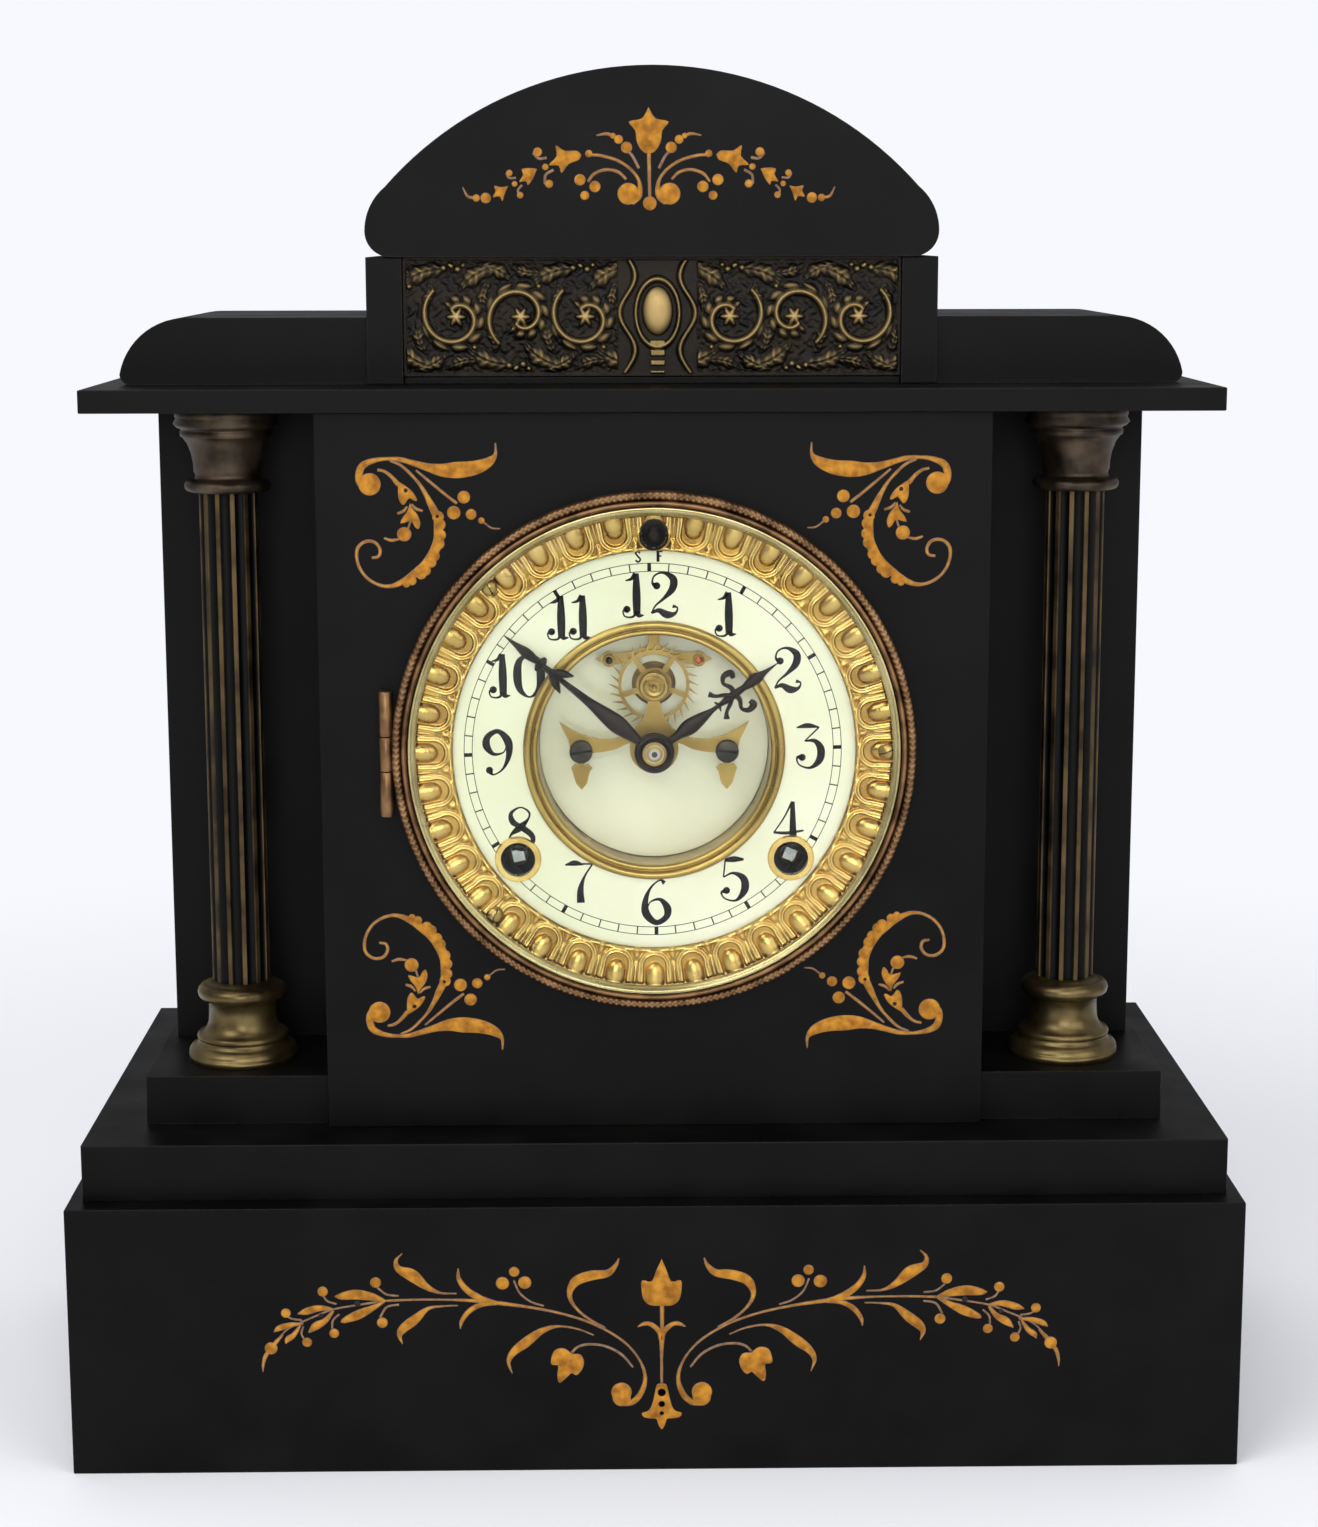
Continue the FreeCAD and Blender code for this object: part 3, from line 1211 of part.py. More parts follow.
def makeMainsprings():
    for side, x in (("time", "arbor_offset"), ("strike", "-arbor_offset")):
        tip = "panel_y + winding_tip_setback + 2 * square_side"
        post = facetedAt(size("main_arbor_radius"), f"plate_back_y - seat_clearance - ({tip})",
                         tip)
        half = size("square_side / 2")
        square = plate([(-half, -half), (half, -half), (half, half), (-half, half)],
                       "2 * square_side", "panel_y + winding_tip_setback")
        turn = {"time": "22", "strike": "-12"}[side]
        keep(side + "_winding_arbor", solidOf(side.capitalize() + "WindingArbor",
                                              post.fuse(square), x, "0", "arbor_z", turn))
    coil = facetedAt(size("spring_radius"), "spring_width", "train_y + spring_start",
                     sides="round_sides")
    middle = boreAt(size("main_arbor_radius + seat_clearance"), "2 * plate_gap",
                    "train_y - overrun")
    right = coil.cut(middle)
    left = right.copy()
    right.translate(point("arbor_offset", "0", "arbor_z"))
    left.translate(point("-arbor_offset", "0", "arbor_z"))
    keep("mainsprings", solidOf("Mainsprings", Part.makeCompound([right, left])))


def makeVerge():
    # The anchor: a stem down from its arbor, and an arm out to the pallet on each side.
    off = size("pallet_offset")
    arm = size("anchor_arm_width")
    stem = size("anchor_stem_width") / 2
    level = size("escape_rise + pallet_rise - anchor_rise")
    tip = off + size("pallet_point")
    right_shares = [(0.45, 0.75), (0.75, 0.6), (1.0, 0.55)]
    under_shares = [(1.0, -0.55), (0.75, -0.45), (0.35, 0.15)]
    right = [(stem, stem), (stem, level + arm + stem / 2)]
    right += [(off * out, level + arm * up) for out, up in right_shares]
    right += [(tip, level)]
    right += [(off * out, level + arm * up) for out, up in under_shares]
    left = [(-across, up) for across, up in reversed(right)]
    anchor = plate(right + [(0, level + arm / 2)] + left, "anchor_thickness", "anchor_y")
    pallets = []
    for side in (-1, 1):
        pallets.append(facetedAt(size("pallet_boss_radius"), "anchor_thickness", "anchor_y",
                                 side * off, level))
        pallets.append(facetedAt(size("pallet_radius"), "anchor_y - escape_y + "
                                 "anchor_thickness / 2", "escape_y - seat_clearance",
                                 side * off, level))
    arbor = facetedAt(size("arbor_radius"), "rear_y + crutch_setback + crutch_sheet - anchor_y",
                      "anchor_y")
    half = size("crutch_width") / 2
    low = -size("crutch_drop")
    crutch = plate([(-half, low), (half, low), (half, half), (-half, half)], "crutch_sheet",
                   "rear_y + crutch_setback")
    inside = size("pendulum_rod_radius + crutch_fork_gap")
    wide = inside + size("crutch_sheet")
    foot = plate([(-wide, low), (wide, low), (wide, low + half), (-wide, low + half)],
                 "crutch_sheet", "rear_y + crutch_setback")
    reach = "pendulum_setback - crutch_setback + pendulum_rod_radius"
    prongs = [plate([(side * inside, low), (side * wide, low), (side * wide, low + half),
                     (side * inside, low + half)], reach, "rear_y + crutch_setback")
              for side in (-1, 1)]
    keep("verge", solidOf("Verge", anchor.fuse([arbor, crutch, foot] + pallets + prongs), "0",
                          "0", "anchor_z"))


def makeBridges():
    # Half the bridge's outline, in shares of the way out to its screws.
    outline_shares = [
        (0.074, 0.675), (0.105, 0.522), (0.167, 0.392), (0.249, 0.292), (0.383, 0.177),
        (0.569, 0.134), (0.732, 0.134), (0.88, 0.163), (1.019, 0.215), (1.158, 0.287),
        (1.297, 0.378), (1.244, 0.263), (1.177, 0.134), (1.148, 0.005), (1.1, -0.12),
        (0.9, -0.12), (0.837, -0.057), (0.694, -0.043), (0.531, -0.01), (0.392, 0.062),
        (0.282, 0.09),
    ]
    acorn_shares = [
        (0.95, -0.1), (0.95, -0.22), (0.9, -0.22), (0.847, -0.268), (0.88, -0.311),
        (0.919, -0.478), (0.995, -0.565), (1.072, -0.478), (1.12, -0.311), (1.134, -0.268),
        (1.1, -0.22), (1.05, -0.22), (1.05, -0.1),
    ]
    out = size("bridge_screw_offset")
    right = [(out * across, out * up) for across, up in outline_shares]
    left = [(-across, up) for across, up in reversed(right)]
    solid = plate(right + left, "bridge_thickness", "bridge_y")
    rise = size("escape_rise")
    pieces = [
        facetedAt(size("bridge_hub_radius"), "bridge_thickness", "bridge_y",
                  sides="round_sides"),
        facetedAt(size("bridge_boss_radius"), "bridge_thickness + bridge_boss_rise",
                  "bridge_y - bridge_boss_rise", 0, rise, "round_sides"),
    ]
    for side in (-1, 1):
        pieces.append(plate([(side * out * across, out * up) for across, up in acorn_shares],
                            "bridge_thickness", "bridge_y"))
        pieces.append(facetedAt(size("post_radius"), "centre_y - bridge_y", "bridge_y",
                                side * out, -size("bridge_screw_drop")))
    solid = solid.fuse(pieces)
    solid = solid.cut(boreAt(size("bridge_pipe_hole"), "2 * overrun", "bridge_y - overrun"))
    solid = solid.cut(boreAt(size("arbor_radius + running_clearance"), "2 * overrun",
                             "bridge_y - overrun", 0, rise))
    keep("escapement_bridge", solidOf("EscapementBridge", solid, "0", "0", "dial_height"))

    # The hidden cock that carries the anchor's front pivot stands on the front plate.
    wide = size("verge_bridge_width") / 2
    drop = size("verge_bridge_drop")
    top = size("verge_bridge_height") - drop
    front = "plate_front_y - verge_bridge_depth"
    face = plate([(-wide, -drop), (wide, -drop), (wide, top), (-wide, top)],
                 "verge_bridge_sheet", front)
    foot = size("verge_bridge_sheet") * 2
    feet = [plate([(side * (wide - foot), -drop), (side * wide, -drop), (side * wide, top),
                   (side * (wide - foot), top)], "verge_bridge_depth", front)
            for side in (-1, 1)]
    solid = face.fuse(feet).cut(boreAt(size("arbor_radius + running_clearance"), "2 * overrun",
                                       f"{front} - overrun"))
    keep("verge_bridge", solidOf("VergeBridge", solid, "0", "0", "anchor_z"))

    screws = [facetedAt(size("bridge_screw_radius"), "bridge_screw_head",
                        "bridge_y - bridge_screw_head", side * out,
                        -size("bridge_screw_drop"), "round_sides") for side in (-1, 1)]
    keep("bridge_screws", solidOf("BridgeScrews", Part.makeCompound(screws), "0", "0",
                                  "dial_height"))


def handShape(length, eye, shares):
    # A flat hand that points up, from shares of its length: (way along, half width).
    right = [(length * half, length * way) for way, half in shares]
    left = [(-across, up) for across, up in reversed(right) if across > 0]
    blade = plate(right + left, "hand_thickness")
    return blade.fuse(facetedAt(eye, "hand_thickness", sides="round_sides"))


def makeHands():
    minute_shares = [
        (0.0, 0.022), (0.13, 0.018), (0.2, 0.028), (0.26, 0.034), (0.34, 0.027), (0.45, 0.017),
        (0.54, 0.013), (0.535, 0.041), (0.6, 0.018), (0.64, 0.014), (0.645, 0.034),
        (0.665, 0.046), (0.685, 0.034), (0.69, 0.015), (0.74, 0.031), (0.8, 0.02), (1.0, 0.0),
    ]
    hour_shares = [
        (0.0, 0.026), (0.17, 0.024), (0.24, 0.042), (0.3, 0.046), (0.38, 0.032), (0.44, 0.02),
        (0.45, 0.034), (0.49, 0.022), (0.56, 0.02), (0.505, 0.075), (0.52, 0.092),
        (0.6, 0.045), (0.62, 0.034), (0.68, 0.038), (0.7, 0.07), (0.725, 0.118),
        (0.76, 0.128), (0.785, 0.1), (0.765, 0.07), (0.735, 0.05), (0.73, 0.022),
        (0.79, 0.034), (0.86, 0.016), (1.0, 0.0),
    ]
    for label, shares, eye, bore in (
            ("minute", minute_shares, "minute_eye_radius", "centre_arbor_radius"),
            ("hour", hour_shares, "hour_eye_radius", "pipe_radius")):
        blade = handShape(size(label + "_hand_length"), size(eye), shares)
        blade = blade.cut(boreAt(size(bore), "4 * hand_thickness", "-hand_thickness"))
        keep(label + "_hand", solidOf(label.capitalize() + "Hand", blade, "0",
                                      f"panel_y - {label}_hand_rise - hand_thickness",
                                      "dial_height", label + "_hand_angle"))


def uprightBar(radius, low, high):
    # A faceted bar that stands on end.
    count = int(size("bar_sides"))
    corners = [polar(radius, 360 * number / count) for number in range(count)]
    ring = [FreeCAD.Vector(across, over, low) for across, over in corners]
    face = Part.Face(Part.makePolygon(ring + ring[:1]))
    return face.extrude(FreeCAD.Vector(0, 0, high - low))


def makePendulum():
    z = "anchor_z"
    low = size("pendulum_length")
    half = size("suspension_width") / 2
    start = size("suspension_drop")
    base = -low - size("bob_radius + rating_nut_height")
    rod_solid = uprightBar(size("pendulum_rod_radius"), base, -start)
    hook = Part.makeBox(2 * half, size("suspension_sheet") * 4, 2 * half,
                        FreeCAD.Vector(-half, -2 * size("suspension_sheet"), -start - half))
    strip = Part.makeBox(2 * half, size("suspension_sheet"), start,
                         FreeCAD.Vector(-half, -size("suspension_sheet") / 2, -start))
    nut = uprightBar(size("rating_nut_radius"), base, base + size("rating_nut_height"))
    keep("pendulum_rod", solidOf("PendulumRod", rod_solid.fuse([hook, strip, nut]), "0",
                                 "pendulum_y", z))
    bulge = "bob_thickness / 2"
    edge = "bob_thickness / 10"
    lens = facetedTurn("PendulumBob", [
        ("0", f"-({bulge})"),
        ("bob_radius / 2", f"-({bulge}) + {edge}"),
        ("bob_radius", f"-({edge})"),
        ("bob_radius", edge),
        ("bob_radius / 2", f"{bulge} - {edge}"),
        ("0", bulge),
    ], "round_sides", "0", "pendulum_y", "anchor_z - pendulum_length", "Y")
    bore = bar("BobBore", "(pendulum_rod_radius + running_clearance) * bar_corner_share",
               "2 * bob_radius + 2 * overrun", "0", "pendulum_y",
               "anchor_z - pendulum_length - bob_radius - overrun", "Z")
    keep("pendulum_bob", cut("PendulumBobBored", lens, bore))


def makeSuspension():
    z = "anchor_z + suspension_rise"
    block = box("PostBlock", "-post_width / 2", "post_width / 2", "rear_y",
                "pendulum_y + post_width / 2", z, f"{z} + post_height")
    strip = box("PostStrip", "-suspension_width / 2", "suspension_width / 2",
                "pendulum_y - suspension_sheet / 2", "pendulum_y + suspension_sheet / 2",
                "anchor_z + seat_clearance", z)
    lug = box("PostLug", "-post_width / 2", "post_width / 2", "rear_y",
              "rear_y + plate_thickness", "anchor_z + suspension_rise / 2", z)
    keep("suspension_post", fuse("SuspensionPost", block, strip, lug))
    gap = "(suspension_sheet / 2 + fork_gap)"
    low = "anchor_z + seat_clearance + suspension_sheet"
    fork_parts = []
    for number, (front, back) in enumerate((
            (f"pendulum_y - {gap} - plate_thickness", f"pendulum_y - {gap}"),
            (f"pendulum_y + {gap}", f"pendulum_y + {gap} + plate_thickness")), start=1):
        fork_parts.append(box(f"ForkCheek{number}", "-fork_width / 2", "fork_width / 2", front,
                              back, low, f"{low} + fork_height"))
    fork_parts.append(box("ForkEnd", "fork_width / 2", "fork_width / 2 + plate_thickness",
                          f"pendulum_y - {gap} - plate_thickness",
                          f"pendulum_y + {gap} + plate_thickness", low,
                          f"{low} + fork_height"))
    keep("suspension_fork", fuse("SuspensionFork", *fork_parts))
    z = "dial_height + regulator_rise"
    shaft = bar("RegulatorShaft", "arbor_radius",
                "pendulum_y - panel_y - 2 * porcelain_setback", "0",
                "panel_y + 2 * porcelain_setback", z)
    collar = bar("RegulatorCollar", "2 * arbor_radius", "plate_thickness", "0",
                 "pendulum_y - plate_thickness", z)
    square = box("RegulatorSquare", "-square_side / 4", "square_side / 4",
                 "panel_y + porcelain_setback / 2", "panel_y + 2 * porcelain_setback",
                 f"{z} - square_side / 4", f"{z} + square_side / 4")
    keep("regulator_arbor", fuse("RegulatorArbor", shaft, collar, square))


def makeStrikework():
    rise = size("release_rise")
    arbor = arborBetweenPlates()
    width = size("crutch_width") / 2
    arm = plate([(-width, -width), (width, -width), (width, width), (-rise / 2, 2 * width),
                 (-rise / 2, width)], "wheel_thickness",
                "train_y + warning_plane")
    keep("strike_release_lever", solidOf("StrikeReleaseLever", arbor.fuse(arm),
                                         "-release_offset", "0", "dial_height + release_rise"))

    arbor = facetedAt(size("arbor_radius"), "rear_y - train_y + crutch_setback - "
                      "seat_clearance", "train_y + seat_clearance")
    tail_across = -size("hammer_tail_reach")
    tail_up = size("hammer_tail_rise")
    tail = plate([(-width, -width), (width, 0), (tail_across + width, tail_up),
                  (tail_across - width, tail_up), (-width, 0)], "wheel_thickness",
                 "train_y + pin_plane + wheel_thickness + pinion_length / 8")
    thin = size("hammer_rod_radius")
    elbow = FreeCAD.Vector(-size("hammer_reach"), 0, -size("hammer_fall"))
    arm = plate([(0, -thin), (elbow.x, elbow.z - thin), (elbow.x, elbow.z + thin), (0, thin)],
                "2 * hammer_rod_radius", "rear_y + crutch_setback - hammer_rod_radius")
    back = facetedAt(thin, "gong_y - rear_y - crutch_setback + hammer_rod_radius",
                     "rear_y + crutch_setback - hammer_rod_radius", elbow.x, elbow.z)
    hub = facetedAt(2 * thin, "4 * hammer_rod_radius", "rear_y + crutch_setback - "
                 "2 * hammer_rod_radius")
    head = facetedAt(size("hammer_head_radius"), "hammer_head_length",
                     "gong_y - hammer_head_length / 2", elbow.x, elbow.z, "round_sides")
    keep("strike_hammer", solidOf("StrikeHammer", arbor.fuse(
        [tail, arm, back, hub, head]), "-hammer_offset", "0",
        "dial_height - hammer_drop"))


def makeGong():
    # A flat spiral of half turns, each wider than the last, whose centres change sides.
    pitch = size("gong_pitch")
    radius = size("gong_inner_radius")
    centre = 0.0
    side = 1
    edges = []
    for number in range(int(size("gong_half_turns"))):
        first = FreeCAD.Vector(centre + side * radius, 0, 0)
        middle = FreeCAD.Vector(centre, 0, side * radius)
        last = FreeCAD.Vector(centre - side * radius, 0, 0)
        edges.append(Part.Arc(first, middle, last).toShape())
        centre += side * pitch / 2
        radius += pitch / 2
        side = -side
    path = Part.Wire(edges)
    wide = size("gong_wire_width") / 2
    deep = size("gong_wire_depth") / 2
    begin = size("gong_inner_radius")
    section = Part.makePolygon([FreeCAD.Vector(begin + across, along, 0) for across, along in (
        (-wide, -deep), (wide, -deep), (wide, deep), (-wide, deep), (-wide, -deep))])
    sweep = Part.BRepOffsetAPI.MakePipeShell(path)
    sweep.add(section)
    sweep.build()
    sweep.makeSolid()
    coil = sweep.shape()
    gap = least_gap(path, pitch)
    print("gong coil: volume", round(coil.Volume, 1), "section times length",
          round(4 * wide * deep * path.Length, 1), "least gap", round(gap - 2 * wide, 2))
    keep("gong_coil", solidOf("GongCoil", coil, "0", "gong_y", "gong_z"))


def makeGongStand():
    low = "gong_z - gong_inner_radius / 4"
    column = box("StandColumn", "-gong_stand_width / 2", "gong_stand_width / 2",
                 "gong_y - gong_wire_depth / 2 - gong_stand_depth",
                 "gong_y - gong_wire_depth / 2 - seat_clearance", "floor_z", "gong_z")
    foot = box("StandFoot", "-gong_base_width / 2", "gong_base_width / 2",
               "gong_y - gong_base_depth / 2", "gong_y + gong_base_depth / 2", "floor_z",
               "floor_z + gong_base_height")
    block = box("StandBlock", "-gong_stand_width / 2", "gong_inner_radius + gong_wire_width / 2",
                "gong_y - gong_wire_depth / 2 - seat_clearance",
                "gong_y + gong_wire_depth / 2", low, "gong_z")
    keep("gong_stand", fuse("GongStand", column, foot, block))


def least_gap(path, pitch):
    # The least distance between points of the path that lie more than half a turn apart.
    spots = path.discretize(Number=400)
    skip = int(400 * pitch * 8 / path.Length)
    best = path.Length
    for index, spot in enumerate(spots):
        for other in spots[index + skip:]:
            if other.distanceToPoint(spot) < best:
                best = other.distanceToPoint(spot)
    return best


makePlinth()
makeSteps()
makeBody()
makeAttic()
makeColumns()
makeDial()
makeBezel()
makePlates()
makeTimeTrain()
makeStrikeTrain()
makeMainsprings()
makeVerge()
makeBridges()
makeHands()
makePendulum()
makeSuspension()
makeStrikework()
makeGong()
makeGongStand()
makeRearDoor()

doc.recompute()
failed = [thing.Label for thing in doc.Objects
          if "Invalid" in thing.State or "Error" in thing.State]
for name, thing in nodes.items():
    if thing.Shape.isNull() or not thing.Shape.isValid() or not thing.Shape.Solids:
        failed.append(name)
if failed:
    raise RuntimeError("these pieces did not build: " + ", ".join(failed))

os.makedirs("parts", exist_ok=True)
for name, thing in nodes.items():
    thing.Shape.exportStep(f"parts/{name}.step")
print(len(nodes), "pieces written")
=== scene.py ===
import bmesh
import bpy
import math
import numpy as np
from mathutils import Matrix, Vector


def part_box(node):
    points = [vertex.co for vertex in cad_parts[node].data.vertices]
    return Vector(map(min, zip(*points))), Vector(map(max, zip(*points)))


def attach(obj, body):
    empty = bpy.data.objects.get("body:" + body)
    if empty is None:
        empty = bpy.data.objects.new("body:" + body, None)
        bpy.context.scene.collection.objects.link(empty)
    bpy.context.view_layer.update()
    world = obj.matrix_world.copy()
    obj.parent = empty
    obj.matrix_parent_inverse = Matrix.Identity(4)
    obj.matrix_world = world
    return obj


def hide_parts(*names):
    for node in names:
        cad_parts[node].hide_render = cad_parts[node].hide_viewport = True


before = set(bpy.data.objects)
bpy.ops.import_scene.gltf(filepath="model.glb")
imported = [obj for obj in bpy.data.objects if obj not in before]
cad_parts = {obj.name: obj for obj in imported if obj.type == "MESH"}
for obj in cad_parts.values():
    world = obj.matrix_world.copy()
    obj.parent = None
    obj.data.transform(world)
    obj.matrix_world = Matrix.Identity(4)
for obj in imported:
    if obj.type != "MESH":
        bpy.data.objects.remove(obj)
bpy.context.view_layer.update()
print("stage: frame loaded")

# metres in a millimetre, and the gap that keeps two faces apart
mm = 0.001
hair = 0.00001
dialHeight = 0.20625
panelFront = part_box("front_panel")[0].y
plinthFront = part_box("plinth_front")[0].y
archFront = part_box("pediment")[0].y
column = {"across": 0.1224, "y": -0.0295, "sides": 96, "grooves": (0.0079, 0.0083)}
bothSides = ((-1, "left"), (1, "right"))


# ---- finishes: two tones mottled by noise, with roughness and relief from the same place
finishes = {
    "black_slate": dict(dark=(0.0012, 0.0011, 0.0011), light=(0.0034, 0.003, 0.0028), grain=45,
        rough=(0.4, 0.55), specular=0.1, worn=(0.05, 0.04, 0.033)),
    "gilt_inlay": dict(dark=(0.25, 0.095, 0.01), light=(0.52, 0.23, 0.025), grain=340,
        rough=(0.55, 0.72), relief=0.00005, fine=1500, specular=0.12),
    "gilt_edge": dict(dark=(0.15, 0.085, 0.05), light=(0.26, 0.16, 0.1), grain=500,
        rough=(0.6, 0.75), fine=1500, specular=0.12),
    # painted_highlight: a painted highlight colour on the relief's raised places
    "bronzed_metal": dict(dark=(0.005, 0.004, 0.0035), light=(0.02, 0.015, 0.009), grain=180,
        rough=(0.4, 0.62), metal=0.75, relief=0.00008, painted_highlight=(0.46, 0.32, 0.125),
        shine=(0.42, 1.2)),
    "aged_brass": dict(dark=(0.022, 0.016, 0.011), light=(0.1, 0.072, 0.045), grain=110,
        rough=(0.34, 0.52), metal=0.85, relief=0.00005, fine=800, worn=(0.36, 0.27, 0.14)),
    "base_brass": dict(dark=(0.06, 0.042, 0.018), light=(0.24, 0.175, 0.07), grain=70,
        rough=(0.28, 0.45), metal=0.9, relief=0.00005, fine=800, worn=(0.5, 0.4, 0.18)),
    # painted_groove_shade: a painted shade colour at the bottoms of the flutes
    "fluted_brass": dict(dark=(0.03, 0.02, 0.012), light=(0.12, 0.08, 0.034), grain=90,
        rough=(0.36, 0.55), metal=0.85, relief=0.00005, fine=800, painted_groove_shade=(0.004, 0.004, 0.004)),
    # painted_highlight: a painted highlight on the gilt ring's ridges, with the hollows left
    # darker as painted shade
    "gilt_brass": dict(dark=(0.34, 0.19, 0.045), light=(0.5, 0.31, 0.085), grain=60,
        rough=(0.22, 0.34), metal=1.0, painted_highlight=(0.9, 0.66, 0.24), shine=(0.15, 0.9)),
    "bezel_brass": dict(dark=(0.09, 0.047, 0.022), light=(0.27, 0.15, 0.07), grain=150,
        rough=(0.28, 0.45), metal=0.92, worn=(0.6, 0.44, 0.24)),
    "old_gold": dict(dark=(0.24, 0.15, 0.04), light=(0.5, 0.34, 0.11), grain=130,
        rough=(0.24, 0.38), metal=0.95, worn=(0.8, 0.62, 0.28)),
    "rolled_gold": dict(dark=(0.34, 0.23, 0.06), light=(0.47, 0.33, 0.1), grain=50,
        rough=(0.24, 0.34), metal=0.95, relief=0.00002, worn=(0.85, 0.68, 0.3)),
    "pale_gold": dict(dark=(0.42, 0.33, 0.14), light=(0.66, 0.54, 0.27), grain=70,
        rough=(0.2, 0.32), metal=0.75, relief=0.00002),
    "gilt_eyelet": dict(dark=(0.6, 0.4, 0.12), light=(0.85, 0.6, 0.22), grain=130,
        rough=(0.2, 0.32), metal=1.0, relief=0.00002),
    "movement_brass": dict(dark=(0.27, 0.17, 0.045), light=(0.43, 0.29, 0.085), grain=90,
        rough=(0.34, 0.48), metal=0.85, relief=0.00002, fine=700, worn=(0.66, 0.5, 0.24)),
    "door_brass": dict(dark=(0.13, 0.085, 0.036), light=(0.19, 0.125, 0.055), grain=40,
        rough=(0.34, 0.46), metal=0.9, relief=0.00002, worn=(0.5, 0.38, 0.2)),
    "dark_steel": dict(dark=(0.018, 0.016, 0.013), light=(0.075, 0.063, 0.048), grain=260,
        rough=(0.3, 0.45), metal=0.8),
    "steel": dict(dark=(0.3, 0.3, 0.3), light=(0.52, 0.52, 0.51), grain=160, rough=(0.22, 0.36),
        metal=1.0, relief=0.00002),
    "blued_steel": dict(dark=(0.009, 0.006, 0.005), light=(0.026, 0.017, 0.013), grain=260,
        rough=(0.3, 0.45), metal=0.8, relief=0.00002),
    "gong_steel": dict(dark=(0.03, 0.04, 0.07), light=(0.09, 0.1, 0.14), grain=120,
        rough=(0.3, 0.45), metal=0.95, relief=0.00002),
    "cast_iron": dict(dark=(0.02, 0.02, 0.022), light=(0.06, 0.055, 0.05), grain=200,
        rough=(0.55, 0.75), metal=0.6, relief=0.0001, fine=700),
    "dial_porcelain": dict(dark=(0.9, 0.87, 0.62), light=(0.97, 0.95, 0.74), grain=22,
        rough=(0.12, 0.2), relief=0.00001, fine=300, coat=0.5),
    # black_print: black for the dial's print, and for painted shade in holes and screw slots
    "black_print": dict(dark=(0.004, 0.003, 0.004), light=(0.012, 0.009, 0.01), grain=700,
        rough=(0.3, 0.45), relief=0.00001, specular=0.15),
    "ruby_jewel": dict(dark=(0.35, 0.02, 0.015), light=(0.8, 0.12, 0.05), grain=600,
        rough=(0.05, 0.1), relief=0.00001, coat=1.0),
}
# the record's material slots and the CAD nodes that use each
finishOf = {
    "black_slate": ("plinth_front plinth_carcass lower_step upper_step front_panel "
                    "front_cheeks recess_panels case_sides back_panel cornice frieze_uprights "
                    "frieze_block attic_wings pediment"),
    "bronzed_metal": "relief_panel",
    "aged_brass": "column_bases column_shafts column_capitals",
    "gilt_brass": "gilt_dial_ring recess_ring winding_grommets",
    "dial_porcelain": "chapter_ring centre_porcelain",
    "bezel_brass": "bezel_rim bezel_hinge rear_door rear_door_hinge",
    "bezel_glass": "bezel_glass",
    "movement_brass": ("front_plate back_plate plate_pillars escapement_bridge verge_bridge "
                       "suspension_post hour_wheel minute_wheel time_great_wheel "
                       "time_second_wheel time_third_wheel escape_wheel pendulum_bob "
                       "suspension_fork strike_great_wheel strike_pin_wheel "
                       "strike_warning_wheel"),
    "steel": ("bridge_screws mainsprings centre_arbor time_winding_arbor strike_winding_arbor "
              "verge pendulum_rod regulator_arbor strike_fly strike_hammer "
              "strike_release_lever"),
    "gong_steel": "gong_coil",
    "cast_iron": "gong_stand",
    "blued_steel": "minute_hand hour_hand",
}

# where the noises turn from one tone to the other, how far the painted highlight may go, and how
# strong edges and bumps are
mottle = {"tone": (0.35, 0.65), "rough": (0.3, 0.7), "painted_highlight": 0.95, "edgeRadius": 0.0007,
          "edge": (0.97, 0.8, 0, 0.55), "wear": (0.35, 0.6, 0.15, 1), "bump": 0.6}


def addNode(tree, kind, inputs=None, out=0, **settings):
    # one shader node with its settings; an input is a plain value or the socket that feeds it
    node = tree.nodes.new("ShaderNode" + kind)
    for key, value in settings.items():
        setattr(node, key, value)
    for key, value in (inputs or {}).items():
        if isinstance(value, bpy.types.NodeSocket):
            tree.links.new(value, node.inputs[key])
        else:
            node.inputs[key].default_value = value
    return node.outputs[out]


